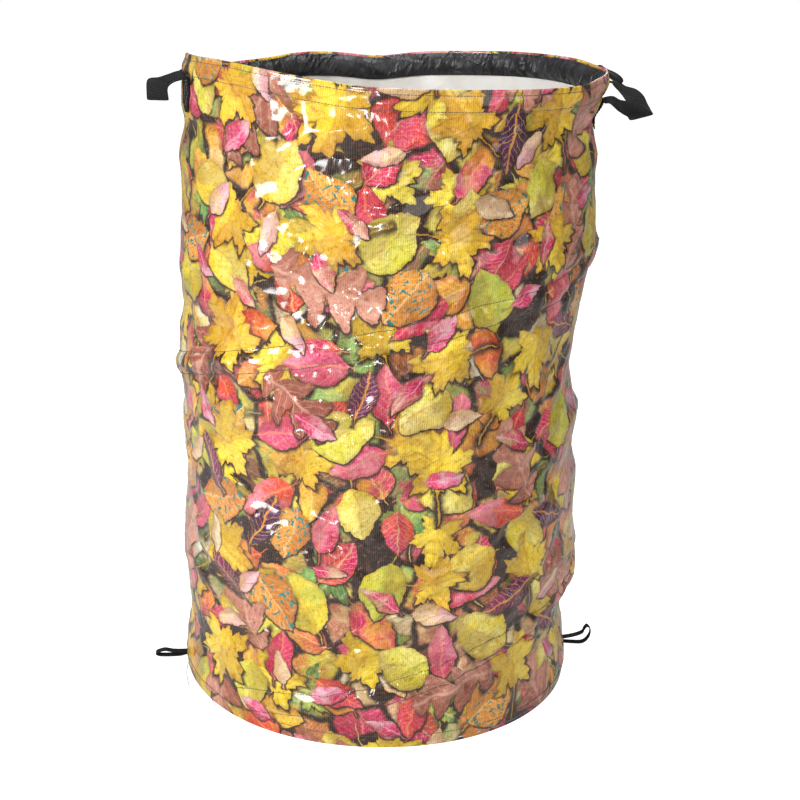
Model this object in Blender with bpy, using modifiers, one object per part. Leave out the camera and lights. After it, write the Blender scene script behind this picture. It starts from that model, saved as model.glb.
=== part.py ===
"""Pop up leaf bag: a tall round fabric bag that a spiral spring wire holds open.

The bag stands on its round base. The rim, with its hem, hoop, handles and toggles, comes
straight down when the bag is pressed flat, and elastic loops at the base then hook over
the toggles. Handles, toggles and loops lie on the X axis, +Z is up, units are metres.
"""
import math

import bmesh
import bpy
from mathutils import Matrix, Vector

# Overall size
BAG_HEIGHT = 0.708
BAG_RADIUS = 0.230
FACETS = 60

# Cloth, tape and clearances
FABRIC = 0.0010
TAPE = 0.0010
GAP = 0.0003
MERGE_DISTANCE = 0.00001

# Spring wire and its clips
WIRE_DIAMETER = 0.0030
WIRE_SIDES = 6
CLIP_WALL = 0.0008
CLIP_LIP = 0.0034

# Hem at the rim and its inner sleeve
HEM_DEPTH = 0.0225
HEM_LIP = 0.0050
RIM_SLEEVE_WIDTH = 0.0240
CHANNEL_HALF_FLOOR = 0.0052
CHANNEL_HALF_WIDTH = 0.0086

# Sleeve of the spiral: knots hold an azimuth in degrees and the share of its rise
SPIRAL_SLEEVE_WIDTH = 0.0270
SPIRAL_RISE_SHARES = (
    (228, 0.0), (246, 0.020), (260, 0.042), (286, 0.094), (308, 0.127), (324, 0.144), (440, 0.352),
    (540, 0.534), (594, 0.625), (618, 0.664), (648, 0.708), (684, 0.740), (760, 0.862), (840, 1.0),
)
WIRE_RUN_OUT_DEG = 24
WIRE_TAIL_DEG = 18
CLIP_TAIL_DEG = 6

# Base: round floor and the tape that joins it to the wall round the lower hoop
BASE_SLEEVE_HEIGHT = 0.0165
BASE_SLEEVE_SEAM = 0.0030
BASE_SLEEVE_SLOPE = 0.0035
BASE_SLEEVE_FOOT = 0.0100

# Back seam of the wall
BACK_SEAM_WIDTH = 0.0120
BACK_SEAM_AZIMUTH = 90

# Handles of webbing
STRAP_WIDTH = 0.0250
STRAP_THICKNESS = 0.0015
STRAP_CHAMFER = 0.0004
STRAP_NOSE_DEG = (80, 45)
STRAP_END_LENGTH = 0.0320
STRAP_END_DROP = 0.0040
HANDLE_LEG_SPACING = 0.0880
HANDLE_REACH = 0.0460
HANDLE_DROOP_DEG = 20
HANDLE_STATIONS = 24

# Toggles and their tabs
TOGGLE_LENGTH = 0.0310
TOGGLE_WIDTH = 0.0150
TOGGLE_THICKNESS = 0.0090
TOGGLE_BAR_DIAMETER = 0.0026
TOGGLE_ARM = 0.0020
TOGGLE_WINDOW_REACH = 0.0055
TOGGLE_CHAMFER_SHARE = 0.35
TOGGLE_HEEL_DEG = (75, 40)
TOGGLE_OUTLINE_SHARES = (
    (0.0, 0.56, 1.0), (0.22, 0.56, 1.0), (0.42, 0.86, 0.97), (0.62, 1.0, 0.90),
    (0.80, 0.96, 0.76), (0.92, 0.74, 0.54), (0.98, 0.42, 0.30), (1.0, 0.20, 0.14),
)
TOGGLE_HEIGHT_BELOW_RIM = 0.0060
TOGGLE_DROOP_DEG = {"left": 60, "right": 30}
TAB_WIDTH = 0.0100
TAB_TAIL_LENGTH = 0.0150
TAB_THICKNESS = 0.0010
TAB_TAIL_THICKNESS = 0.0016
TAB_ROUND_STEPS = 14

# Elastic loops at the base
LOOP_LENGTH = 0.0350
LOOP_HEIGHT = 0.0110
LOOP_LIFT = 0.0020
LOOP_WIDTH = 0.0065
LOOP_THICKNESS = 0.0012
LOOP_BEAD_RADIUS = 0.0014
LOOP_POINTS = 30
LOOP_OPEN_SHARE = 0.17
LOOP_FLOOR_CLEARANCE = 0.0006
LOOP_SLOPE_STEP_DEG = 1

BAR_SIDES = 12
MM = 1000

# Places that follow from the sizes above
FACET_DEG = 360 / FACETS
WALL_INNER = BAG_RADIUS - FABRIC
WALL_TOP = BAG_HEIGHT - FABRIC - GAP
LINING_FACE = WALL_INNER - GAP
WIRE_PATH_RADIUS = LINING_FACE - WIRE_DIAMETER / 2
CLIP_BACK = WIRE_PATH_RADIUS - WIRE_DIAMETER / 2 - GAP - CLIP_WALL
CHANNEL_FACE = CLIP_BACK - GAP
WIRE_PITCH = WIRE_DIAMETER + GAP
BASE_HOOP_HEIGHT = FABRIC + GAP + CLIP_WALL + GAP + WIRE_DIAMETER / 2
BASE_TAIL_HEIGHT = BASE_HOOP_HEIGHT + WIRE_PITCH
RIM_SLEEVE_TOP = BAG_HEIGHT - HEM_LIP - GAP
RIM_SLEEVE_CENTRE = RIM_SLEEVE_TOP - RIM_SLEEVE_WIDTH / 2
RIM_HOOP_HEIGHT = RIM_SLEEVE_CENTRE + WIRE_PITCH / 2
RIM_TAIL_HEIGHT = RIM_SLEEVE_CENTRE - WIRE_PITCH / 2
SPIRAL_START_HEIGHT = BASE_SLEEVE_HEIGHT + GAP + SPIRAL_SLEEVE_WIDTH / 2
SPIRAL_END_HEIGHT = RIM_SLEEVE_CENTRE - RIM_SLEEVE_WIDTH / 2 - GAP - SPIRAL_SLEEVE_WIDTH / 2
HEM_FACE = BAG_RADIUS + GAP + FABRIC
HEM_FOOT = BAG_HEIGHT - HEM_DEPTH - GAP
STRAP_END_TOP = HEM_FOOT - STRAP_END_DROP
HANDLE_HALF_ANGLE = math.asin(HANDLE_LEG_SPACING / 2 / BAG_RADIUS)
STRAP_INNER_EDGE = (HANDLE_LEG_SPACING - STRAP_WIDTH) / 2
STRAP_END_FACE = BAG_RADIUS + GAP + STRAP_THICKNESS
HANDLE_AXIS_RADIUS = (
    math.sqrt(STRAP_END_FACE ** 2 - STRAP_INNER_EDGE ** 2) + GAP + STRAP_THICKNESS / 2
)
HANDLE_AXIS_HEIGHT = STRAP_END_TOP - STRAP_THICKNESS / 2
TOGGLE_EYE_RADIUS = TOGGLE_BAR_DIAMETER / 2 + GAP + TAB_THICKNESS
TOGGLE_AXIS_RADIUS = HEM_FACE + GAP + TOGGLE_EYE_RADIUS
TOGGLE_AXIS_HEIGHT = BAG_HEIGHT - TOGGLE_HEIGHT_BELOW_RIM
LOOP_AXIS_RADIUS = BAG_RADIUS + GAP + LOOP_BEAD_RADIUS
LOOP_AXIS_HEIGHT = LOOP_FLOOR_CLEARANCE + (LOOP_HEIGHT + LOOP_THICKNESS) / 2 - LOOP_LIFT / 2

SIDES = {"right": 0.0, "left": math.pi}


def clear_scene():
    """Take every object out of the scene."""
    for thing in list(bpy.data.objects):
        bpy.data.objects.remove(thing, do_unlink=True)


def make_collection(name):
    """Return a new collection linked to the scene."""
    group = bpy.data.collections.new(name)
    bpy.context.scene.collection.children.link(group)
    return group


def make_material(name, colour, roughness, metallic=0.0):
    """Return a plain Principled material."""
    material = bpy.data.materials.new(name)
    material.use_nodes = True
    shader = material.node_tree.nodes["Principled BSDF"]
    shader.inputs["Base Color"].default_value = (*colour, 1.0)
    shader.inputs["Roughness"].default_value = roughness
    shader.inputs["Metallic"].default_value = metallic
    material.diffuse_color = (*colour, 1.0)
    return material


def add_object(name, data, material, group):
    """Link new object data under a name, with its material."""
    thing = bpy.data.objects.new(name, data)
    data.materials.append(material)
    group.objects.link(thing)
    return thing


def facet_share(azimuth_deg):
    """Distance of the faceted wall at an azimuth, as a share of its corner radius."""
    half = math.radians(FACET_DEG / 2)
    offset = math.radians(azimuth_deg % FACET_DEG) - half
    return math.cos(half) / math.cos(offset)


def round_point(azimuth_deg, radius, height):
    """Point on the faceted tube of the given corner radius."""
    reach = radius * facet_share(azimuth_deg)
    angle = math.radians(azimuth_deg)
    return Vector((reach * math.cos(angle), reach * math.sin(angle), height))


def stations_between(start_deg, end_deg):
    """Azimuths from start to end with every facet corner on the way."""
    first = math.floor(start_deg / FACET_DEG) + 1
    corners = []
    while first * FACET_DEG < end_deg:
        if first * FACET_DEG > start_deg:
            corners.append(first * FACET_DEG)
        first += 1
    return [start_deg] + corners + [end_deg]


def turned(name, profile, material, group, closed=True):
    """Turn a profile of (radius, height) points round the bag's axis."""
    mesh = bpy.data.meshes.new(name)
    points = [(radius, 0.0, height) for radius, height in profile]
    edges = [(i, i + 1) for i in range(len(points) - 1)]
    if closed:
        edges.append((len(points) - 1, 0))
    mesh.from_pydata(points, edges, [])
    thing = add_object(name, mesh, material, group)
    screw = thing.modifiers.new("turn", "SCREW")
    screw.axis = "Z"
    screw.angle = math.tau
    screw.steps = FACETS
    screw.render_steps = FACETS
    screw.use_merge_vertices = True
    screw.merge_threshold = MERGE_DISTANCE
    return thing


def skin(name, sections, material, group):
    """Loft equal closed sections into one capped solid."""
    form = bmesh.new()
    rows = [[form.verts.new(point) for point in section] for section in sections]
    count = len(rows[0])
    for low, high in zip(rows, rows[1:]):
        for i in range(count):
            j = (i + 1) % count
            form.faces.new((low[i], low[j], high[j], high[i]))
    form.faces.new(list(reversed(rows[0])))
    form.faces.new(rows[-1])
    bmesh.ops.recalc_face_normals(form, faces=form.faces)
    mesh = bpy.data.meshes.new(name)
    form.to_mesh(mesh)
    form.free()
    return add_object(name, mesh, material, group)


def outline_plate(name, outlines, half_width, material, group):
    """Flat outlines in the XZ plane given a width along Y; inner outlines are holes."""
    curve = bpy.data.curves.new(name, "CURVE")
    curve.dimensions = "2D"
    curve.fill_mode = "BOTH"
    curve.extrude = half_width
    for outline in outlines:
        spline = curve.splines.new("POLY")
        spline.points.add(len(outline) - 1)
        for point, (x, z) in zip(spline.points, outline):
            point.co = (x, z, 0.0, 1.0)
        spline.use_cyclic_u = True
    flat = bpy.data.objects.new(name, curve)
    group.objects.link(flat)
    return meshed(flat, Matrix.Rotation(math.pi / 2, 4, "X"), material, group)


def meshed(thing, turn, material, group):
    """Swap a curve object for its turned mesh, under the same name."""
    name = thing.name
    bpy.context.view_layer.update()
    mesh = bpy.data.meshes.new_from_object(thing.evaluated_get(bpy.context.evaluated_depsgraph_get()))
    bpy.data.objects.remove(thing, do_unlink=True)
    form = bmesh.new()
    form.from_mesh(mesh)
    bmesh.ops.remove_doubles(form, verts=form.verts, dist=MERGE_DISTANCE)
    bmesh.ops.transform(form, matrix=turn, verts=form.verts)
    bmesh.ops.recalc_face_normals(form, faces=form.faces)
    form.to_mesh(mesh)
    form.free()
    mesh.name = name
    mesh.materials.clear()
    return add_object(name, mesh, material, group)


def wire_tube(name, points, radius, material, group):
    """Round wire through a run of points, with flat ends."""
    curve = bpy.data.curves.new(name, "CURVE")
    curve.dimensions = "3D"
    curve.bevel_depth = radius
    curve.bevel_resolution = WIRE_SIDES // 2 - 2
    curve.use_fill_caps = True
    spline = curve.splines.new("POLY")
    spline.points.add(len(points) - 1)
    for knot, point in zip(spline.points, points):
        knot.co = (*point, 1.0)
    return add_object(name, curve, material, group)


def cylinder_along_y(name, radius, length, material, group):
    """Solid cylinder on the Y axis."""
    form = bmesh.new()
    bmesh.ops.create_cone(
        form, cap_ends=True, segments=BAR_SIDES, radius1=radius, radius2=radius, depth=length,
        matrix=Matrix.Rotation(math.pi / 2, 4, "X"),
    )
    mesh = bpy.data.meshes.new(name)
    form.to_mesh(mesh)
    form.free()
    return add_object(name, mesh, material, group)


def box(name, low, high, material, group):
    """Solid box between two corners."""
    form = bmesh.new()
    bmesh.ops.create_cube(form, size=1.0)
    middle = (Vector(low) + Vector(high)) / 2
    size = Vector(high) - Vector(low)
    bmesh.ops.transform(
        form, matrix=Matrix.Translation(middle) @ Matrix.Diagonal((*size, 1.0)), verts=form.verts
    )
    mesh = bpy.data.meshes.new(name)
    form.to_mesh(mesh)
    form.free()
    return add_object(name, mesh, material, group)


def combine(thing, tool, operation):
    """Apply one exact Boolean between two solids."""
    change = thing.modifiers.new(operation.lower(), "BOOLEAN")
    change.operation = operation
    change.solver = "EXACT"
    change.object = tool
    tool.hide_render = True
    tool.display_type = "WIRE"


def smooth_slopes(knots):
    """Slopes at the knots that keep the curve rising without overshoot."""
    rises = [
        (high[1] - low[1]) / (high[0] - low[0]) for low, high in zip(knots, knots[1:])
    ]
    slopes = [rises[0]]
    for before, after in zip(rises, rises[1:]):
        slopes.append(2 * before * after / (before + after) if before * after > 0 else 0.0)
    slopes.append(rises[-1])
    return slopes


def spiral_knots():
    """Azimuth and height of the spiral wire, from the lower clip to the upper one."""
    rise = SPIRAL_END_HEIGHT - SPIRAL_START_HEIGHT
    middle = [(azimuth, SPIRAL_START_HEIGHT + share * rise) for azimuth, share in SPIRAL_RISE_SHARES]
    low_turn = middle[0][0] - WIRE_RUN_OUT_DEG
    high_turn = middle[-1][0] + WIRE_RUN_OUT_DEG
    low = [(low_turn - WIRE_TAIL_DEG, BASE_TAIL_HEIGHT), (low_turn, BASE_TAIL_HEIGHT)]
    high = [(high_turn, RIM_TAIL_HEIGHT), (high_turn + WIRE_TAIL_DEG, RIM_TAIL_HEIGHT)]
    return low + middle + high


def spiral_height(azimuth_deg, knots, slopes):
    """Height of the spiral at an azimuth counted on over its turns."""
    index = 0
    while index < len(knots) - 2 and azimuth_deg > knots[index + 1][0]:
        index += 1
    (start, low), (end, high) = knots[index], knots[index + 1]
    run = end - start
    t = (azimuth_deg - start) / run
    return (
        low * (2 * t ** 3 - 3 * t ** 2 + 1)
        + high * (3 * t ** 2 - 2 * t ** 3)
        + run * slopes[index] * (t ** 3 - 2 * t ** 2 + t)
        + run * slopes[index + 1] * (t ** 3 - t ** 2)
    )


def spiral_route():
    """Facet corners that the spiral wire passes, as (azimuth, height)."""
    knots = spiral_knots()
    slopes = smooth_slopes(knots)
    slopes[0] = 0.0
    slopes[-1] = 0.0
    count = round((knots[-1][0] - knots[0][0]) / FACET_DEG)
    turns = [knots[0][0] + i * FACET_DEG for i in range(count + 1)]
    return [(azimuth, spiral_height(azimuth, knots, slopes)) for azimuth in turns]


def print_spiral_gap(points):
    """Print the least gap between one turn of the spiral wire and another."""
    apart = FACETS // 2
    least = min(
        (points[i] - points[j]).length
        for i in range(len(points)) for j in range(i + apart, len(points))
    )
    print(f"spiral wire: least gap to itself {(least - WIRE_DIAMETER) * MM:.1f} mm")


def channel_profile(width, half_floor, half_channel):
    """Section of a sewn sleeve: flat edges on the wall and a channel that stands off it."""
    outer = [
        (LINING_FACE, width / 2), (LINING_FACE, half_channel), (CHANNEL_FACE, half_floor),
        (CHANNEL_FACE, -half_floor), (LINING_FACE, -half_channel), (LINING_FACE, -width / 2),
    ]
    inner = [(radius - TAPE, height) for radius, height in reversed(outer)]
    return outer + inner


def build_wall(materials, group):
    """Printed tube of the bag, open at both ends, standing on the floor."""
    profile = [
        (BAG_RADIUS, WALL_TOP), (BAG_RADIUS, 0.0), (WALL_INNER, 0.0), (WALL_INNER, WALL_TOP),
    ]
    turned("wall_panel", profile, materials["fabric"], group)
    half = math.degrees(BACK_SEAM_WIDTH / 2 / BAG_RADIUS)
    wall_patch(
        "back_seam", BACK_SEAM_AZIMUTH, half, GAP, HEM_FOOT, FABRIC, materials["fabric"], group
    )


def wall_patch(name, azimuth_deg, half_deg, low, high, thickness, material, group):
    """Flat piece sewn on the outside of the wall, following its round."""
    sections = []
    for azimuth in stations_between(azimuth_deg - half_deg, azimuth_deg + half_deg):
        near = BAG_RADIUS + GAP
        far = near + thickness
        corners = ((near, low), (far, low), (far, high), (near, high))
        sections.append([round_point(azimuth, radius, height) for radius, height in corners])
    return skin(name, sections, material, group)


def build_base(materials, group, cutters):
    """Round floor, lower hoop and the tape round it, open where the spiral leaves."""
    disc = [(0.0, FABRIC), (LINING_FACE, FABRIC), (LINING_FACE, 0.0), (0.0, 0.0)]
    turned("base_panel", disc, materials["fabric"], group, closed=False)
    seam = BASE_SLEEVE_HEIGHT - BASE_SLEEVE_SEAM
    shoulder = seam - BASE_SLEEVE_SLOPE
    foot = FABRIC + GAP
    inner_end = CHANNEL_FACE - BASE_SLEEVE_FOOT
    profile = [
        (LINING_FACE, BASE_SLEEVE_HEIGHT), (LINING_FACE, seam), (CHANNEL_FACE, shoulder),
        (CHANNEL_FACE, foot), (inner_end, foot), (inner_end, foot + TAPE),
        (CHANNEL_FACE - TAPE, foot + TAPE), (CHANNEL_FACE - TAPE, shoulder + TAPE / 2),
        (LINING_FACE - TAPE, seam + TAPE / 2), (LINING_FACE - TAPE, BASE_SLEEVE_HEIGHT),
    ]
    sleeve = turned("base_sleeve", profile, materials["tape"], group)
    build_hoop("base_hoop_wire", BASE_HOOP_HEIGHT, materials, group)
    combine(sleeve, wire_passage("base_passage", materials, cutters), "DIFFERENCE")


def build_hoop(name, height, materials, group):
    """Closed hoop of spring wire."""
    bpy.ops.mesh.primitive_torus_add(
        major_segments=FACETS, minor_segments=WIRE_SIDES,
        major_radius=WIRE_PATH_RADIUS, minor_radius=WIRE_DIAMETER / 2,
        location=(0.0, 0.0, height),
    )
    hoop = bpy.context.object
    hoop.name = name
    hoop.data.materials.append(materials["wire"])
    for owner in list(hoop.users_collection):
        owner.objects.unlink(hoop)
    group.objects.link(hoop)
    return hoop


def wire_passage(name, materials, cutters):
    """Cutter that opens a tape where the spiral wire runs through it."""
    points = [round_point(azimuth, WIRE_PATH_RADIUS, height) for azimuth, height in spiral_route()]
    tube = wire_tube(name, points, WIRE_DIAMETER / 2 + GAP * 2, materials["wire"], cutters)
    return meshed(tube, Matrix.Identity(4), materials["wire"], cutters)


def build_spiral(materials, group):
    """Spiral wire from hoop to hoop, its sleeve and the two clips that hold its ends."""
    route = spiral_route()
    points = [round_point(azimuth, WIRE_PATH_RADIUS, height) for azimuth, height in route]
    wire_tube("spiral_wire", points, WIRE_DIAMETER / 2, materials["wire"], group)
    print_spiral_gap(points)
    first, last = SPIRAL_RISE_SHARES[0][0], SPIRAL_RISE_SHARES[-1][0]
    profile = channel_profile(SPIRAL_SLEEVE_WIDTH, CHANNEL_HALF_FLOOR, CHANNEL_HALF_WIDTH)
    sections = [
        [round_point(azimuth, radius, height + rise) for radius, rise in profile]
        for azimuth, height in route if first <= azimuth <= last
    ]
    skin("spiral_sleeve", sections, materials["tape"], group)
    low_end = route[0][0] + CLIP_TAIL_DEG
    high_end = route[-1][0] - CLIP_TAIL_DEG - FACET_DEG
    build_clip("base_wire_clip", low_end, BASE_HOOP_HEIGHT, BASE_TAIL_HEIGHT, materials, group)
    build_clip("rim_wire_clip", high_end, RIM_TAIL_HEIGHT, RIM_HOOP_HEIGHT, materials, group)


def build_clip(name, azimuth_deg, low_wire, high_wire, materials, group):
    """Bent metal clip, open towards the wall, that clasps two wires."""
    reach = WIRE_DIAMETER / 2 + GAP + CLIP_WALL
    low, high = low_wire - reach, high_wire + reach
    lip = CLIP_BACK + CLIP_LIP
    bore = CLIP_BACK + CLIP_WALL
    profile = [
        (CLIP_BACK, low), (lip, low), (lip, low + CLIP_WALL), (bore, low + CLIP_WALL),
        (bore, high - CLIP_WALL), (lip, high - CLIP_WALL), (lip, high), (CLIP_BACK, high),
    ]
    sections = [
        [round_point(azimuth, radius, height) for radius, height in profile]
        for azimuth in (azimuth_deg, azimuth_deg + FACET_DEG)
    ]
    return skin(name, sections, materials["wire"], group)


def build_rim(materials, group, cutters):
    """Folded hem over the wall's edge, inner sleeve and upper hoop."""
    outer = BAG_RADIUS + GAP
    top = BAG_HEIGHT
    under = BAG_HEIGHT - FABRIC
    edge = FABRIC / 2
    profile = [
        (HEM_FACE - edge, top), (HEM_FACE, top - edge), (HEM_FACE, top - HEM_DEPTH),
        (outer, top - HEM_DEPTH), (outer, under), (LINING_FACE, under),
        (LINING_FACE, top - HEM_LIP), (LINING_FACE - FABRIC, top - HEM_LIP),
        (LINING_FACE - FABRIC, top - edge), (LINING_FACE - FABRIC + edge, top),
    ]
    turned("top_hem", profile, materials["fabric"], group)
    section = channel_profile(RIM_SLEEVE_WIDTH, CHANNEL_HALF_FLOOR, CHANNEL_HALF_WIDTH)
    lifted = [(radius, RIM_SLEEVE_CENTRE + height) for radius, height in section]
    sleeve = turned("rim_sleeve", lifted, materials["tape"], group)
    build_hoop("rim_hoop_wire", RIM_HOOP_HEIGHT, materials, group)
    combine(sleeve, wire_passage("rim_passage", materials, cutters), "DIFFERENCE")


def strap_section(centre, across, through, half_width, half_thickness):
    """Chamfered rectangle of webbing across its run."""
    cut = min(STRAP_CHAMFER, half_thickness / 2)
    corners = (
        (half_width, half_thickness - cut), (half_width - cut, half_thickness),
        (cut - half_width, half_thickness), (-half_width, half_thickness - cut),
        (-half_width, cut - half_thickness), (cut - half_width, -half_thickness),
        (half_width - cut, -half_thickness), (half_width, cut - half_thickness),
    )
    return [centre + across * u + through * v for u, v in corners]


def handle_frame(share):
    """Place and axes of the free strap at a share of its run from leg to leg."""
    angle = math.pi * share
    half = HANDLE_LEG_SPACING / 2
    place = Vector((HANDLE_REACH * math.sin(angle), half * math.cos(angle), 0.0))
    along = Vector((HANDLE_REACH * math.cos(angle), -half * math.sin(angle), 0.0)).normalized()
    level = Vector((-along.y, along.x, 0.0))
    twist = math.sin(angle) ** 2 * math.pi / 2
    across = level * math.cos(twist) + Vector((0.0, 0.0, 1.0)) * math.sin(twist)
    return place, across, across.cross(along)


def build_handle(side, materials, group):
    """Two sewn strap ends and the free strap that swings between them."""
    turn = math.degrees(SIDES[side])
    half_deg = math.degrees(STRAP_WIDTH / 2 / BAG_RADIUS)
    leg_deg = math.degrees(HANDLE_HALF_ANGLE)
    facing = 1 if side == "right" else -1
    for place, sign in (("front", -facing), ("rear", facing)):
        wall_patch(
            f"{side}_handle_{place}_end", turn + sign * leg_deg, half_deg,
            STRAP_END_TOP - STRAP_END_LENGTH, STRAP_END_TOP, STRAP_THICKNESS,
            materials["webbing"], group,
        )
    half_width, half_thick = STRAP_WIDTH / 2, STRAP_THICKNESS / 2
    sections = []
    for i in range(HANDLE_STATIONS + 1):
        place, across, through = handle_frame(i / HANDLE_STATIONS)
        sections.append(strap_section(place, across, through, half_width, half_thick))
    for angle in (math.radians(degrees) for degrees in reversed(STRAP_NOSE_DEG)):
        for share in (0.0, 1.0):
            place, across, through = handle_frame(share)
            back = place - Vector((half_thick * math.sin(angle), 0.0, 0.0))
            section = strap_section(back, across, through, half_width, half_thick * math.cos(angle))
            if share:
                sections.append(section)
            else:
                sections.insert(0, section)
    strap = skin(f"{side}_handle_strap", sections, materials["webbing"], group)
    place_on_side(strap, side, HANDLE_AXIS_RADIUS, HANDLE_AXIS_HEIGHT, HANDLE_DROOP_DEG)


def place_on_side(thing, side, radius, height, droop_deg=0.0):
    """Put a piece modelled along +X on its side of the bag, turned down by its droop."""
    angle = SIDES[side]
    thing.location = (radius * math.cos(angle), radius * math.sin(angle), height)
    thing.rotation_mode = "XYZ"
    thing.rotation_euler = (0.0, math.radians(droop_deg), angle)


def build_toggle(side, materials, group, cutters):
    """Moulded toggle with a bar in its window, and the tape tab that holds the bar."""
    half_thick, half_width = TOGGLE_THICKNESS / 2, TOGGLE_WIDTH / 2
    first = TOGGLE_OUTLINE_SHARES[0]
    sections = []
    reach = half_thick * first[1]
    for angle in (math.radians(degrees) for degrees in TOGGLE_HEEL_DEG):
        sections.append(toggle_section(
            -reach * math.sin(angle), reach * math.cos(angle), half_width * first[2]))
    for run, thick, wide in TOGGLE_OUTLINE_SHARES:
        sections.append(toggle_section(run * TOGGLE_LENGTH, thick * half_thick, wide * half_width))
    toggle = skin(f"{side}_toggle", sections, materials["toggle"], group)
    window = half_width - TOGGLE_ARM
    cut = box(
        f"{side}_toggle_window", (-TOGGLE_WINDOW_REACH, -window, -TOGGLE_THICKNESS),
        (TOGGLE_WINDOW_REACH, window, TOGGLE_THICKNESS), materials["toggle"], cutters,
    )
    bar_length = 2 * window + TOGGLE_ARM
    bar = cylinder_along_y(
        f"{side}_toggle_bar", TOGGLE_BAR_DIAMETER / 2, bar_length, materials["toggle"], cutters
    )
    combine(toggle, cut, "DIFFERENCE")
    combine(toggle, bar, "UNION")
    for piece in (toggle, cut, bar):
        place_on_side(piece, side, TOGGLE_AXIS_RADIUS, TOGGLE_AXIS_HEIGHT, TOGGLE_DROOP_DEG[side])
    tab = outline_plate(f"{side}_toggle_tab", tab_outlines(), TAB_WIDTH / 2, materials["tape"], group)
    place_on_side(tab, side, TOGGLE_AXIS_RADIUS, TOGGLE_AXIS_HEIGHT)


def toggle_section(run, half_thick, half_width):
    """Rounded eight sided section of the toggle."""
    cut = half_thick * TOGGLE_CHAMFER_SHARE
    corners = (
        (half_width, half_thick - cut), (half_width - cut, half_thick),
        (cut - half_width, half_thick), (-half_width, half_thick - cut),
        (-half_width, cut - half_thick), (cut - half_width, -half_thick),
        (half_width - cut, -half_thick), (half_width, cut - half_thick),
    )
    return [Vector((run, y, z)) for y, z in corners]


def tab_outlines():
    """Tape folded round the toggle's bar, with its tail flat on the hem."""
    hole = TOGGLE_BAR_DIAMETER / 2 + GAP
    tail_face = TAB_TAIL_THICKNESS - TOGGLE_EYE_RADIUS
    meet = -math.acos(tail_face / TOGGLE_EYE_RADIUS)
    outer = []
    for i in range(TAB_ROUND_STEPS + 1):
        angle = math.pi + (meet - math.pi) * i / TAB_ROUND_STEPS
        outer.append((TOGGLE_EYE_RADIUS * math.cos(angle), TOGGLE_EYE_RADIUS * math.sin(angle)))
    outer.append((tail_face, -TAB_TAIL_LENGTH))
    outer.append((-TOGGLE_EYE_RADIUS, -TAB_TAIL_LENGTH))
    inner = []
    for i in range(TAB_ROUND_STEPS):
        angle = math.tau * i / TAB_ROUND_STEPS
        inner.append((hole * math.cos(angle), hole * math.sin(angle)))
    return [outer, inner]


def loop_point(share, offset):
    """Point of the elastic loop's drop shape, moved out from its middle line."""
    angle = math.tau * share

    def middle(turn):
        run = LOOP_LENGTH * (1 - math.cos(turn)) / 2
        fullness = 3 * math.sqrt(3) / 4
        swell = LOOP_HEIGHT / 2 * fullness * math.sin(turn) * abs(math.sin(turn / 2))
        return Vector((run, LOOP_LIFT * run / LOOP_LENGTH - swell))

    step = math.radians(LOOP_SLOPE_STEP_DEG)
    along = (middle(angle + step) - middle(angle - step)).normalized()
    return middle(angle) + Vector((along.y, -along.x)) * offset


def build_base_loop(side, materials, group, cutters):
    """Flat elastic doubled into a loop, sewn in at the base seam."""
    half = LOOP_THICKNESS / 2
    start = LOOP_OPEN_SHARE
    outer, inner = [], []
    for i in range(LOOP_POINTS + 1):
        share = i / LOOP_POINTS
        whole = start / 2 + (1 - start) * share
        outer.append(tuple(loop_point(whole, half)))
        inside = start + (1 - 2 * start) * share
        inner.append(tuple(loop_point(inside, -half)))
    root = [(0.0, LOOP_BEAD_RADIUS / 2), (0.0, -LOOP_BEAD_RADIUS / 2)]
    loop = outline_plate(
        f"{side}_base_loop", [outer + root, inner], LOOP_WIDTH / 2, materials["elastic"], group
    )
    bead = cylinder_along_y(
        f"{side}_loop_bead", LOOP_BEAD_RADIUS, LOOP_WIDTH, materials["elastic"], cutters
    )
    combine(loop, bead, "UNION")
    for piece in (loop, bead):
        place_on_side(piece, side, LOOP_AXIS_RADIUS, LOOP_AXIS_HEIGHT)


def main():
    """Build the whole bag."""
    clear_scene()
    group = make_collection("pop_up_leaf_bag")
    cutters = make_collection("cutters")
    materials = {
        "fabric": make_material("printed_fabric", (0.72, 0.52, 0.12), 0.35),
        "tape": make_material("black_tape", (0.02, 0.02, 0.022), 0.8),
        "webbing": make_material("black_webbing", (0.015, 0.015, 0.015), 0.85),
        "elastic": make_material("black_elastic", (0.02, 0.02, 0.02), 0.75),
        "toggle": make_material("black_plastic", (0.018, 0.018, 0.018), 0.4),
        "wire": make_material("spring_steel", (0.55, 0.56, 0.58), 0.3, 1.0),
    }
    build_wall(materials, group)
    build_base(materials, group, cutters)
    build_spiral(materials, group)
    build_rim(materials, group, cutters)
    for side in SIDES:
        build_handle(side, materials, group)
        build_toggle(side, materials, group, cutters)
        build_base_loop(side, materials, group, cutters)


main()
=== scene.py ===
"""Dressed model of a pop up leaf bag: printed cloth, hem, facing, webbing handles, toggles and loops."""

import logging
import math
from dataclasses import dataclass
from enum import Enum
from typing import Iterable, Sequence

import bmesh
import bpy
import numpy as np
from mathutils import Matrix, Vector, noise

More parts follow.
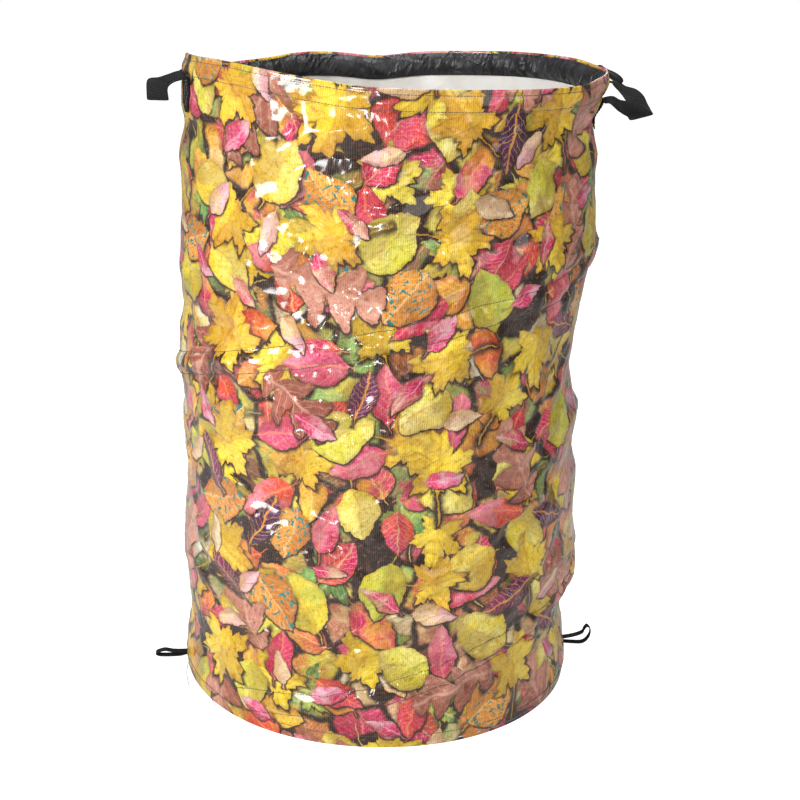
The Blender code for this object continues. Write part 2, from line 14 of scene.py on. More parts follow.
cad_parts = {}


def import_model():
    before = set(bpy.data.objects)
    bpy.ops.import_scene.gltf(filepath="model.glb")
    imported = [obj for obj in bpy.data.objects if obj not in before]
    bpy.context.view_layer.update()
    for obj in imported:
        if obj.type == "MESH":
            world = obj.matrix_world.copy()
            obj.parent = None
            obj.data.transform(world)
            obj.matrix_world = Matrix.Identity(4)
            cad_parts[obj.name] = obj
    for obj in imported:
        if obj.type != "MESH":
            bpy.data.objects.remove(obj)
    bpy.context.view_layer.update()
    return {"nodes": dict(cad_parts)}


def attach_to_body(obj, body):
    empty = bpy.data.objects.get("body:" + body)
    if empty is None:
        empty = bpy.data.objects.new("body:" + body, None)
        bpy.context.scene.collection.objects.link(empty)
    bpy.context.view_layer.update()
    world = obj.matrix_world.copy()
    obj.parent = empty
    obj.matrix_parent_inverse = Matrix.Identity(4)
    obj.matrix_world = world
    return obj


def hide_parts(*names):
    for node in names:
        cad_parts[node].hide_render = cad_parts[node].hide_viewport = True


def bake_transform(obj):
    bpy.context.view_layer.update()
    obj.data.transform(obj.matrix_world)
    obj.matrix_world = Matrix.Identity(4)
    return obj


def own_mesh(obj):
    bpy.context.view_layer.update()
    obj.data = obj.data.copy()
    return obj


LOG = logging.getLogger("leaf_bag")
Socket = bpy.types.NodeSocket
Colour = tuple[float, float, float, float]


class Side(Enum):
    """Side of the bag, by the sign of its X."""

    RIGHT = 1
    LEFT = -1

    @property
    def word(self) -> str:
        """Name of the side as the joints and bodies use it."""
        return self.name.lower()

    @property
    def azimuth(self) -> float:
        """Azimuth of the side's handle, toggle and loop in degrees."""
        return 0.0 if self is Side.RIGHT else 180.0


class LeafKind(Enum):
    """Outline of a printed leaf."""

    OVAL = "Oval leaf"
    MAPLE = "Lobed leaf"
    OAK = "Oak leaf"


def hex_colour(code: str) -> Colour:
    """Return the scene-linear colour of a six digit screen colour.

    Args:
        code: Six hexadecimal digits, red first.

    Returns:
        Red, green, blue and an alpha of one.
    """
    shares = [int(code[i:i + 2], 16) / 255 for i in (0, 2, 4)]
    linear = [s / 12.92 if s <= 0.04045 else ((s + 0.055) / 1.055) ** 2.4 for s in shares]
    return (*linear, 1.0)


def smoothstep(value: np.ndarray, low: float, high: float) -> np.ndarray:
    """Return a smooth rise from 0 at low to 1 at high."""
    t = np.clip((np.asarray(value, float) - low) / (high - low), 0.0, 1.0)
    return t * t * (3 - 2 * t)


def noise_field(points: np.ndarray, wavelength: Sequence[float], shift: float) -> np.ndarray:
    """Return gradient noise at points.

    Args:
        points: Array of places, three numbers each, in metres.
        wavelength: Size of the noise along X, Y and Z in metres.
        shift: Number that tells one field from another.

    Returns:
        Noise from -1 to 1, in the shape of the points.
    """
    scaled = (points / np.asarray(wavelength) + shift).reshape(-1, 3).tolist()
    return np.array([noise.noise(place) for place in scaled]).reshape(points.shape[:-1])


@dataclass(frozen=True)
class BagSizes:
    """Sizes of the bag that its pieces share, in metres and degrees."""

    radius: float = 0.2300
    height: float = 0.7080
    wall_top: float = 0.7067
    fabric: float = 0.0010
    gap: float = 0.0003
    hem_depth: float = 0.0225
    hem_lip: float = 0.0050
    wire_diameter: float = 0.0030
    wire_inset: float = 0.0028
    sleeve_width: float = 0.0270
    base_row: float = 0.0140
    row_spacing: float = 0.0250
    collapse_travel: float = 0.5900
    collapse_tuck: float = 0.0125
    seam_azimuth: float = 90.0

    @property
    def hem_foot(self) -> float:
        """Height of the hem's lower edge."""
        return self.height - self.hem_depth

    @property
    def squash_keep(self) -> float:
        """Share of the wall's height that is left when the bag is pressed flat."""
        return 1 - (self.collapse_travel + self.collapse_tuck) / self.wall_top


SIZES = BagSizes()


@dataclass(frozen=True)
class SpiralRoute:
    """Route of the spiral wire: azimuth in degrees, counted on over its turns, and height."""

    start_height: float = 0.0303
    end_height: float = 0.6649
    base_tail_height: float = 0.0072
    rim_tail_height: float = 0.68905
    run_out: float = 24.0
    tail: float = 18.0
    rise_shares: tuple[tuple[float, float], ...] = (
        (228, 0.0), (246, 0.020), (260, 0.042), (286, 0.094), (308, 0.127), (324, 0.144),
        (440, 0.352), (540, 0.534), (594, 0.625), (618, 0.664), (648, 0.708), (684, 0.740),
        (760, 0.862), (840, 1.0),
    )

    @property
    def first(self) -> float:
        """Azimuth where the sleeve begins."""
        return self.rise_shares[0][0]

    @property
    def last(self) -> float:
        """Azimuth where the sleeve ends."""
        return self.rise_shares[-1][0]

    @property
    def ends(self) -> tuple[float, float]:
        """Azimuths where the wire itself begins and ends, on the hoops."""
        beyond = self.run_out + self.tail
        return self.first - beyond, self.last + beyond

    def knots(self) -> list[tuple[float, float]]:
        """Return azimuth and height at each knot, with the wire's ends at the hoops."""
        rise = self.end_height - self.start_height
        middle = [(turn, self.start_height + share * rise) for turn, share in self.rise_shares]
        begin, end = self.ends
        return (
            [(begin, self.base_tail_height), (begin + self.tail, self.base_tail_height)]
            + middle
            + [(end - self.tail, self.rim_tail_height), (end, self.rim_tail_height)]
        )

    def heights(self, azimuth: np.ndarray) -> np.ndarray:
        """Return the wire's height at azimuths.

        Args:
            azimuth: Azimuths in degrees, counted on over the turns.

        Returns:
            Heights in metres, on a curve that rises without overshoot.
        """
        knots = np.array(self.knots())
        rises = np.diff(knots[:, 1]) / np.diff(knots[:, 0])
        both = rises[:-1] * rises[1:]
        slopes = np.zeros(len(knots))
        slopes[1:-1] = np.where(both > 0, 2 * both / np.maximum(rises[:-1] + rises[1:], 1e-12), 0)
        azimuth = np.asarray(azimuth, float)
        index = np.clip(np.searchsorted(knots[:, 0], azimuth) - 1, 0, len(knots) - 2)
        run = knots[index + 1, 0] - knots[index, 0]
        t = (azimuth - knots[index, 0]) / run
        return (
            knots[index, 1] * (2 * t ** 3 - 3 * t ** 2 + 1)
            + knots[index + 1, 1] * (3 * t ** 2 - 2 * t ** 3)
            + run * slopes[index] * (t ** 3 - 2 * t ** 2 + t)
            + run * slopes[index + 1] * (t ** 3 - t ** 2)
        )


def drum(azimuth: np.ndarray, height: np.ndarray | float) -> np.ndarray:
    """Return places on the plain cylinder of the bag, where the noise of its cloth is read.

    Args:
        azimuth: Azimuths in degrees.
        height: Heights in metres.

    Returns:
        Array of places, three numbers each.
    """
    azimuth, height = np.broadcast_arrays(azimuth, height)
    angle = np.radians(azimuth)
    return np.stack([SIZES.radius * np.cos(angle), SIZES.radius * np.sin(angle), height], axis=-1)


def closed_turn(azimuths: np.ndarray) -> np.ndarray:
    """Return azimuths with the first one again at the end, a full turn on."""
    return np.append(azimuths, azimuths[0] + 360)


def calmed(values: np.ndarray, reach: int, width: float, around: bool) -> np.ndarray:
    """Return values averaged with their neighbours under a bell.

    Args:
        values: Row of values.
        reach: How many neighbours on each side count.
        width: Width of the bell in steps.
        around: Whether the row closes on itself.

    Returns:
        As many values.
    """
    weights = np.exp(-(np.arange(-reach, reach + 1) / width) ** 2)
    padded = np.pad(values, reach, mode="wrap" if around else "edge")
    return np.convolve(padded, weights / weights.sum(), "valid")


@dataclass(frozen=True)
class Crease:
    """One long fold of the wall: its ends as azimuth and height, and how it stands."""

    start: tuple[float, float]
    end: tuple[float, float]
    depth: float
    width: float = 0.010


@dataclass(frozen=True)
class ClothForm:
    """How the standing cloth departs from a true cylinder.

    The rim's table has azimuths in degrees with heights in millimetres, and the tables of the sides
    have heights with radii, both in millimetres.
    """

    rim_heights: tuple[tuple[float, float], ...] = (
        (6, 711), (18, 714), (28, 714), (36, 713.6), (44, 713), (61, 709), (76, 705), (82, 701),
        (89, 697), (95, 698), (101, 701), (114, 701), (121, 697), (129, 693), (137, 692), (148, 690),
        (160, 693), (170, 702), (181, 713), (194, 714), (202, 715), (210, 716), (221, 715), (227, 713),
        (241, 708), (252, 704), (263, 703), (276, 703.5), (312, 703.5), (319, 704), (325, 706),
        (332, 709.5), (346, 711),
    )
    left_azimuth: float = 181.0
    left_radii: tuple[tuple[float, float], ...] = (
        (707, 229), (699, 230), (690, 232.5), (679, 234.5), (667, 233), (654, 234), (641, 232),
        (628, 233), (602.5, 237.5), (563, 234.5), (523, 234.7), (510, 236), (483, 237), (455.5, 234),
        (441.6, 231), (414, 237), (386, 239), (372, 240), (357.6, 236.6), (328.7, 232),
        (314.4, 234.6), (270, 231), (240.6, 229),
        (210.7, 230.5), (180.5, 232), (150, 233), (118.5, 227), (87, 226), (71, 225), (55, 226),
        (40, 230), (8, 231),
    )
    right_azimuth: float = 344.6
    right_radii: tuple[tuple[float, float], ...] = (
        (698, 225), (685, 221), (672, 218), (658.6, 210), (646, 213), (620.7, 221), (581, 221),
        (542, 226), (529, 228), (501, 223), (473, 218.5), (459, 215), (431, 214), (402, 209.5),
        (388, 207), (374, 208), (346, 216), (332, 222), (288, 217), (259, 226), (229, 226),
        (199, 226), (169.5, 232), (138, 231), (105.6, 223), (89, 219), (73, 217), (58, 223),
        (27, 230), (-5, 230),
    )
    creases: tuple[Crease, ...] = (
        Crease((239.4, 0.6547), (260.7, 0.6736), 0.0050, 0.0060),
        Crease((231.4, 0.6020), (245.4, 0.6185), 0.0042, 0.0055),
        Crease((220.4, 0.5822), (227.1, 0.5760), 0.0036, 0.0050),
        Crease((230.4, 0.4076), (244.7, 0.4097), 0.0042, 0.0055),
        Crease((236.1, 0.3254), (243.2, 0.3020), 0.0040, 0.0055),
        Crease((255.4, 0.6157), (258.7, 0.6525), -0.0046, 0.0048),
        Crease((253.4, 0.3766), (263.1, 0.4245), -0.0064, 0.0055),
        Crease((265.4, 0.4455), (248.0, 0.4302), -0.0060, 0.0050),
        Crease((249.0, 0.4060), (232.0, 0.3890), -0.0040, 0.0060),
        Crease((222.0, 0.2450), (243.0, 0.2620), 0.0040, 0.0060),
        Crease((268.0, 0.1650), (287.0, 0.1900), -0.0044, 0.0060),
        Crease((292.0, 0.5350), (305.0, 0.5900), -0.0050, 0.0060),
        Crease((318.0, 0.4800), (331.0, 0.5250), -0.0056, 0.0055),
        Crease((309.0, 0.6300), (323.0, 0.6050), 0.0040, 0.0060),
        Crease((312.0, 0.3100), (327.0, 0.3500), -0.0052, 0.0055),
        Crease((301.0, 0.2300), (318.0, 0.2050), 0.0042, 0.0060),
        Crease((322.0, 0.1500), (334.0, 0.1950), -0.0050, 0.0055),
        Crease((206.0, 0.4900), (219.0, 0.4700), -0.0046, 0.0060),
        Crease((203.0, 0.3300), (214.0, 0.3550), 0.0044, 0.0055),
        Crease((207.0, 0.1500), (221.0, 0.1300), -0.0044, 0.0060),
    )


class Cloth:
    """Outer face of the standing wall: its radius on a fine grid of azimuth and height."""

    def __init__(self, sizes: BagSizes, route: SpiralRoute, form: ClothForm) -> None:
        """Work out the grid.

        Args:
            sizes: Shared sizes of the bag.
            route: Route of the spiral wire, whose sleeve shows in the wall.
            form: Heights of the rim, outlines of the sides and long folds.
        """
        self.sizes, self.route, self.form = sizes, route, form
        self.columns, self.rows = 480, 150
        self.step = 360 / self.columns
        self.azimuths = sizes.seam_azimuth + np.arange(self.columns) * self.step
        self.heights = np.linspace(0.0, sizes.wall_top, self.rows + 1)
        self.lifts = self._rim_lifts()
        turn, rise = np.meshgrid(self.azimuths, self.heights, indexing="ij")
        self.grid = self._radii(turn, rise)
        self.slack = self._slack()

    def _slack(self) -> np.ndarray:
        """Return how far each grid point lies outside the innermost of its neighbours."""
        least = self.grid.copy()
        for across in (-2, -1, 0, 1, 2):
            moved = np.roll(self.grid, across, axis=0)
            padded = np.pad(moved, ((0, 0), (2, 2)), mode="edge")
            for up in range(5):
                least = np.minimum(least, padded[:, up:up + self.grid.shape[1]])
        calm = 1 - 0.75 * smoothstep(self.heights, 0.640, 0.668)
        return (self.grid - least) * calm

    def _rim_lifts(self) -> np.ndarray:
        """Return how far the rim stands above its level height, at each column."""
        table = np.array(self.form.rim_heights)
        fine = np.interp(self.azimuths, table[:, 0], table[:, 1] / 1000, period=360)
        return calmed(fine, 16, 4.0 / self.step, around=True) - self.sizes.height

    def _side(self, azimuth: float, width: float, turn: np.ndarray) -> np.ndarray:
        """Return a soft weight round one azimuth."""
        away = (turn - azimuth + 180) % 360 - 180
        return np.exp(-(away / width) ** 2)

    def _radii(self, turn: np.ndarray, rise: np.ndarray) -> np.ndarray:
        """Return the radius of the outer face at each grid point."""
        radii = np.full(turn.shape, self.sizes.radius)
        still = np.zeros(turn.shape)
        for azimuth, table in (
            (self.form.left_azimuth, self.form.left_radii),
            (self.form.right_azimuth, self.form.right_radii),
        ):
            known = np.array(table[::-1]) / 1000
            levels = np.linspace(0, self.sizes.wall_top, 300)
            fine = np.interp(levels, known[:, 0], known[:, 1])
            soft = calmed(fine, 60, 28.0, around=False)
            slow = np.interp(rise, levels, soft) - self.sizes.radius
            quick = np.interp(rise, levels, fine - soft)
            near = self._side(azimuth, 26.0, turn)
            radii += slow * self._side(azimuth, 62.0, turn) + quick * near
            still = np.maximum(still, near)
        places = drum(turn, rise)
        foot = smoothstep(rise, 0.004, 0.060)
        head = 1 - 0.75 * smoothstep(rise, 0.660, 0.690)
        loose = foot * head * (1 - 0.7 * still)
        radii += loose * self._dents(places)
        radii += foot * self._channel(turn, rise, places)
        radii += self._gathers(rise, places)
        radii += loose * self._long_folds(turn, rise)
        radii += 0.75 * loose * self._crumples(turn, places)
        radii += 0.0040 * self._side(226.0, 30.0, turn) * (1 - smoothstep(rise, 0.0, 0.070))
        inward = 0.0012 * (1 - smoothstep(rise, 0.0, 0.012))
        return radii - inward

    def _dents(self, places: np.ndarray) -> np.ndarray:
        """Return the soft dents and the crisp folds of the stiff laminated cloth."""
        leaned = places.copy()
        leaned[..., 2] += 0.75 * places[..., 0]
        crossed = places.copy()
        crossed[..., 2] -= 0.55 * places[..., 0] + 0.3 * places[..., 1]
        soft = 0.0042 * noise_field(places, (0.150, 0.150, 0.120), 3.7)
        soft += 0.0030 * noise_field(leaned, (0.075, 0.075, 0.050), 11.3)
        ridges = 0.26 - np.abs(noise_field(leaned, (0.085, 0.085, 0.036), 5.1))
        valleys = np.abs(noise_field(crossed, (0.060, 0.060, 0.042), 8.9)) - 0.24
        small = 0.24 - np.abs(noise_field(crossed, (0.030, 0.030, 0.021), 2.3))
        return soft + 0.0090 * ridges + 0.0070 * valleys + 0.0034 * small

    def _crumples(self, turn: np.ndarray, places: np.ndarray) -> np.ndarray:
        """Return the close crumples of the side that was handled most, with a few elsewhere."""
        leaned = places.copy()
        leaned[..., 2] -= 0.9 * places[..., 1]
        patch = smoothstep(noise_field(places, (0.090, 0.090, 0.075), 29.0), 0.02, 0.30)
        handled = np.maximum(self._side(333.0, 34.0, turn), 0.8 * self._side(192.0, 18.0, turn))
        share = np.clip(0.45 * patch + 1.0 * handled * (0.55 + 0.45 * patch), 0, 1)
        sharp = 0.22 - np.abs(noise_field(leaned, (0.030, 0.030, 0.017), 13.0))
        close = 0.22 - np.abs(noise_field(places, (0.017, 0.017, 0.026), 19.0))
        return share * (0.0120 * sharp + 0.0050 * close)

    def _channel(self, turn: np.ndarray, rise: np.ndarray, places: np.ndarray) -> np.ndarray:
        """Return the raised channel over the spiral, drawn in along its rows of stitching."""
        route, half = self.route, self.sizes.row_spacing / 2
        change = np.zeros(turn.shape)
        pucker = noise_field(places, (0.013, 0.013, 0.030), 17.0)
        for lap in range(3):
            counted = turn % 360 + 360 * lap
            inside = (counted > route.first - 8) & (counted < route.last + 6)
            away = np.abs(rise - route.heights(np.clip(counted, *route.ends)))
            crown = np.clip(1 - (away / half) ** 2, 0, 1) ** 0.8
            rows = np.exp(-((away - half) / 0.0032) ** 2)
            close = np.exp(-((away - half) / 0.0120) ** 2)
            bulge = 0.0030 * crown - 0.0016 * rows + 0.0018 * close * pucker
            change += np.where(inside, bulge, 0.0)
        return change

    def _gathers(self, rise: np.ndarray, places: np.ndarray) -> np.ndarray:
        """Return the small upright gathers under the hem and above the base seam."""
        fine = noise_field(places, (0.016, 0.016, 0.110), 23.0)
        under_hem = np.exp(-((rise - 0.672) / 0.026) ** 2)
        over_base = np.exp(-((rise - 0.024) / 0.014) ** 2)
        return 0.0026 * fine * under_hem + 0.0022 * fine * over_base

    def _long_folds(self, turn: np.ndarray, rise: np.ndarray) -> np.ndarray:
        """Return the long folds that run across the wall."""
        change = np.zeros(turn.shape)
        arc = math.radians(1) * self.sizes.radius
        for fold in self.form.creases:
            ends = np.array([[fold.start[0] * arc, fold.start[1]], [fold.end[0] * arc, fold.end[1]]])
            along = ends[1] - ends[0]
            here = np.stack([(turn % 360) * arc - ends[0, 0], rise - ends[0, 1]], axis=-1)
            share = np.clip((here @ along) / (along @ along), 0, 1)
            away = np.linalg.norm(here - share[..., None] * along, axis=-1)
            fade = np.clip(np.sin(math.pi * np.clip(share, 0.02, 0.98)), 0.15, 1)
            change += fold.depth * fade * np.exp(-away / fold.width)
        return change

    def lift(self, azimuth: np.ndarray, height: np.ndarray) -> np.ndarray:
        """Return how far a point of the cloth stands above its level height."""
        share = (np.asarray(azimuth, float) - self.azimuths[0]) / self.step
        low = np.floor(share).astype(int)
        part = share - low
        edge = self.lifts[low % self.columns] * (1 - part) + self.lifts[(low + 1) % self.columns] * part
        return edge * smoothstep(height, 0.520, 0.690)

    def read(self, grid: np.ndarray, azimuth: np.ndarray, height: np.ndarray) -> np.ndarray:
        """Return one measure of the cloth, read between grid points.

        Args:
            grid: The measure at each grid point, such as the radius of the outer face.
            azimuth: Azimuths in degrees.
            height: Heights on the level cloth in metres.

        Returns:
            The measure at each place, in metres.
        """
        across = (np.asarray(azimuth, float) - self.azimuths[0]) / self.step
        up = np.clip(np.asarray(height, float) / self.sizes.wall_top, 0, 1) * self.rows
        i, j = np.floor(across).astype(int), np.minimum(np.floor(up).astype(int), self.rows - 1)
        s, t = across - i, up - j
        left, right = i % self.columns, (i + 1) % self.columns
        return (
            grid[left, j] * (1 - s) * (1 - t) + grid[right, j] * s * (1 - t)
            + grid[left, j + 1] * (1 - s) * t + grid[right, j + 1] * s * t
        )

    def points(self, azimuth: np.ndarray, height: np.ndarray, proud: np.ndarray | float) -> np.ndarray:
        """Return places on the cloth or a little off it.

        Args:
            azimuth: Azimuths in degrees.
            height: Heights on the level cloth in metres.
            proud: Distance outside the outer face in metres.

        Returns:
            Array of places, three numbers each.
        """
        azimuth, height, proud = np.broadcast_arrays(azimuth, height, proud)
        reach = self.read(self.grid, azimuth, height) + proud
        angle = np.radians(azimuth)
        rise = height + self.lift(azimuth, height)
        return np.stack([reach * np.cos(angle), reach * np.sin(angle), rise], axis=-1)

    def unrolled(self, azimuth: np.ndarray, height: np.ndarray) -> np.ndarray:
        """Return flat cloth coordinates in metres for the print."""
        azimuth, height = np.broadcast_arrays(azimuth, height)
        arc = np.radians(azimuth - self.sizes.seam_azimuth) * self.sizes.radius
        return np.stack([arc, height], axis=-1)


def new_piece(
    name: str,
    points: np.ndarray,
    faces: Sequence[Sequence[int]],
    materials: Sequence[bpy.types.Material],
    corner_uv: np.ndarray | None = None,
    face_slots: Sequence[int] | None = None,
    mend: bool = True,
    flat_angle: float = 40.0,
) -> bpy.types.Object:
    """Make a mesh object with its place in its mesh.

    Args:
        name: Name of the piece.
        points: Places of the vertices.
        faces: Vertex numbers of each face.
        materials: Materials of the slots.
        corner_uv: Cloth coordinates of each face corner, in the order of the faces.
        face_slots: Slot number of each face.
        mend: Whether the faces are turned to point outwards.
        flat_angle: Edges sharper than this many degrees stay sharp.

    Returns:
        The object, linked to the scene.
    """
    mesh = bpy.data.meshes.new(name)
    mesh.from_pydata(np.asarray(points).reshape(-1, 3).tolist(), [], [list(f) for f in faces])
    if corner_uv is not None:
        layer = mesh.uv_layers.new(name="cloth")
        layer.data.foreach_set("uv", np.asarray(corner_uv, np.float32).ravel())
    for material in materials:
        mesh.materials.append(material)
    if face_slots is not None:
        mesh.polygons.foreach_set("material_index", np.asarray(face_slots, np.int32))
    if mend:
        form = bmesh.new()
        form.from_mesh(mesh)
        bmesh.ops.recalc_face_normals(form, faces=form.faces)
        form.to_mesh(mesh)
        form.free()
    mesh.shade_smooth()
    mesh.set_sharp_from_angle(angle=math.radians(flat_angle))
    piece = bpy.data.objects.new(name, mesh)
    bpy.context.scene.collection.objects.link(piece)
    return piece


def loft(
    name: str,
    sections: np.ndarray,
    materials: Sequence[bpy.types.Material],
    around: bool,
    uv: np.ndarray | None = None,
    flat_angle: float = 40.0,
    slots: np.ndarray | None = None,
) -> bpy.types.Object:
    """Join equal closed sections into one closed piece.

    Args:
        name: Name of the piece.
        sections: Places as (station, point of the section, three numbers).
        materials: Materials of the slots.
        around: Whether the last section joins the first one.
        uv: Cloth coordinates as (station, point, two numbers), one more of each than the places.
        flat_angle: Edges sharper than this many degrees stay sharp.
        slots: Slot number of each face as (station, point of the section).

    Returns:
        The object.
    """
    stations, count = sections.shape[:2]
    runs = stations if around else stations - 1
    faces, corners = [], []
    for i in range(runs):
        n = (i + 1) % stations
        for j in range(count):
            k = (j + 1) % count
            faces.append((i * count + j, n * count + j, n * count + k, i * count + k))
            corners.append(((i, j), (i + 1, j), (i + 1, j + 1), (i, j + 1)))
    if not around:
        for end, order in ((0, range(count)), (stations - 1, range(count - 1, -1, -1))):
            faces.append([end * count + j for j in order])
            corners.append([(end, j) for j in order])
    flat = None
    if uv is not None:
        flat = np.array([uv[i, j] for face in corners for i, j in face])
    numbers = None if slots is None else slots.ravel()
    return new_piece(name, sections, faces, materials, flat, numbers, flat_angle=flat_angle)


def ribbon(
    name: str,
    grid: np.ndarray,
    thickness: float,
    material: bpy.types.Material,
) -> bpy.types.Object:
    """Give a strip of places a thickness, with rounded edges and closed ends.

    Args:
        name: Name of the piece.
        grid: Middle face as (station, place across the width, three numbers).
        thickness: Thickness of the strip in metres.
        material: Its material.

    Returns:
        The object, with cloth coordinates in metres along and across the strip.
    """
    along = np.gradient(grid, axis=0)
    across = np.gradient(grid, axis=1)
    normal = np.cross(along, across)
    normal /= np.maximum(np.linalg.norm(normal, axis=-1, keepdims=True), 1e-12)
    count = grid.shape[1]
    share = np.abs(np.linspace(-1, 1, count))
    half = thickness / 2 * np.sqrt(np.clip(1 - share ** 8, 0.10, 1))
    top = grid + normal * half[None, :, None]
    under = grid - normal * half[None, :, None]
    sections = np.concatenate([top, under[:, ::-1]], axis=1)
    middle = grid[:, count // 2]
    run = np.concatenate([[0], np.cumsum(np.linalg.norm(np.diff(middle, axis=0), axis=1))])
    width = np.linalg.norm(grid[0, -1] - grid[0, 0])
    wide = np.linspace(0, width, count)
    level = np.concatenate([wide, wide[::-1], wide[:1]])
    uv = np.stack(np.meshgrid(run, level, indexing="ij"), axis=-1)
    return loft(name, sections, [material], around=False, uv=uv, flat_angle=70.0)


def tube(
    name: str,
    path: np.ndarray,
    radius: float,
    material: bpy.types.Material,
    sides: int = 10,
    closed: bool = False,
) -> bpy.types.Object:
    """Make a round wire along a path.

    Args:
        name: Name of the piece.
        path: Places of the middle line.
        radius: Radius of the wire in metres.
        material: Its material.
        sides: Number of sides.
        closed: Whether the wire is a ring.

    Returns:
        The object.
    """
    if closed:
        along = np.roll(path, -1, axis=0) - np.roll(path, 1, axis=0)
    else:
        along = np.gradient(path, axis=0)
    along /= np.linalg.norm(along, axis=1, keepdims=True)
    side = np.cross(along, np.tile([0.0, 0.0, 1.0], (len(path), 1)))
    weak = np.linalg.norm(side, axis=1) < 0.2
    side[weak] = np.cross(along[weak], [1.0, 0.0, 0.0])
    side /= np.linalg.norm(side, axis=1, keepdims=True)
    other = np.cross(along, side)
    angle = np.linspace(0, math.tau, sides, endpoint=False)
    ring = side[:, None] * np.cos(angle)[None, :, None] + other[:, None] * np.sin(angle)[None, :, None]
    return loft(name, path[:, None] + radius * ring, [material], around=closed, flat_angle=60.0)


def spline_through(knots: Sequence[Sequence[float]], count: int) -> np.ndarray:
    """Return evenly counted places on a smooth curve through knots.

    Args:
        knots: Places that the curve passes.
        count: Number of places wanted.

    Returns:
        Array of places.
    """
    known = np.array(knots, float)
    run = np.concatenate([[0], np.cumsum(np.linalg.norm(np.diff(known, axis=0), axis=1))])
    padded = np.vstack([2 * known[0] - known[1], known, 2 * known[-1] - known[-2]])
    places = []
    for at in np.linspace(0, run[-1], count):
        i = min(int(np.searchsorted(run, at, side="right")) - 1, len(known) - 2)
        t = (at - run[i]) / (run[i + 1] - run[i])
        a, b, c, d = padded[i:i + 4]
        places.append(
            0.5 * (2 * b + (c - a) * t + (2 * a - 5 * b + 4 * c - d) * t ** 2
                   + (3 * b - a - 3 * c + d) * t ** 3)
        )
    return np.array(places)


class Wiring:
    """Adds shader nodes to one tree, each after the nodes that feed it."""

    def __init__(self, tree: bpy.types.NodeTree) -> None:
        """Keep the tree that is wired."""
        self.tree = tree

    def add(self, kind: str, **settings: object) -> bpy.types.Node:
        """Add a node and set its options."""
        node = self.tree.nodes.new(kind)
        for name, value in settings.items():
            setattr(node, name, value)
        return node

    def plug(self, socket: Socket, value: object) -> None:
        """Link a socket to another one, or set its value."""
        if isinstance(value, Socket):
            self.tree.links.new(value, socket)
        elif value is not None:
            socket.default_value = value

    def math(self, operation: str, a: object, b: object = None, c: object = None) -> Socket:
        """Return the result of one sum on numbers."""
        node = self.add("ShaderNodeMath", operation=operation)
        for socket, value in zip(node.inputs, (a, b, c)):
            self.plug(socket, value)
        return node.outputs[0]

    def vector(self, operation: str, a: object, b: object = None, scale: object = None) -> Socket:
        """Return the vector result of one sum on vectors."""
        node = self.add("ShaderNodeVectorMath", operation=operation)
        self.plug(node.inputs[0], a)
        self.plug(node.inputs[1], b)
        self.plug(node.inputs[3], scale)
        return node.outputs[0]

    def length(self, a: object) -> Socket:
        """Return the length of a vector."""
        node = self.add("ShaderNodeVectorMath", operation="LENGTH")
        self.plug(node.inputs[0], a)
        return node.outputs[1]

    def parts(self, a: object) -> Sequence[Socket]:
        """Return the three numbers of a vector."""
        node = self.add("ShaderNodeSeparateXYZ")
        self.plug(node.inputs[0], a)
        return list(node.outputs)

    def whole(self, x: object, y: object, z: object = 0.0) -> Socket:
        """Return a vector from three numbers."""
        node = self.add("ShaderNodeCombineXYZ")
        for socket, value in zip(node.inputs, (x, y, z)):
            self.plug(socket, value)
        return node.outputs[0]

    def smooth(self, value: object, low: float, high: float, start: float = 0.0, end: float = 1.0) -> Socket:
        """Return a smooth change from start at low to end at high."""
        node = self.add("ShaderNodeMapRange", interpolation_type="SMOOTHSTEP")
        for socket, given in zip(node.inputs, (value, low, high, start, end)):
            self.plug(socket, given)
        return node.outputs[0]

    def mix(self, factor: object, a: object, b: object, blend: str = "MIX") -> Socket:
        """Return a mix of two colours."""
        node = self.add("ShaderNodeMix", data_type="RGBA", blend_type=blend)
        self.plug(node.inputs[0], factor)
        self.plug(node.inputs[6], a)
        self.plug(node.inputs[7], b)
        return node.outputs[2]

    def noise(self, place: object, scale: object, detail: float = 2.0, rough: float = 0.5) -> Socket:
        """Return noise from 0 to 1."""
        node = self.add("ShaderNodeTexNoise")
        self.plug(node.inputs["Vector"], place)
        self.plug(node.inputs["Scale"], scale)
        self.plug(node.inputs["Detail"], detail)
        self.plug(node.inputs["Roughness"], rough)
        return node.outputs[0]

    def palette(self, chance: object, codes: Sequence[str]) -> Socket:
        """Return one of several colours, picked by a number from 0 to 1."""
        node = self.add("ShaderNodeValToRGB")
        ramp = node.color_ramp
        ramp.interpolation = "CONSTANT"
        for index, code in enumerate(codes):
            share = index / len(codes)
            stop = ramp.elements[index] if index < 2 else ramp.elements.new(share)
            stop.position = share
            stop.color = hex_colour(code)
        self.plug(node.inputs[0], chance)
        return node.outputs[0]

    def use(self, group: bpy.types.NodeTree, **values: object) -> dict[str, Socket]:
        """Place a shader group and return its outputs by name."""
        node = self.add("ShaderNodeGroup")
        node.node_tree = group
        for name, value in values.items():
            self.plug(node.inputs[name.replace("_", " ")], value)
        return {socket.name: socket for socket in node.outputs}


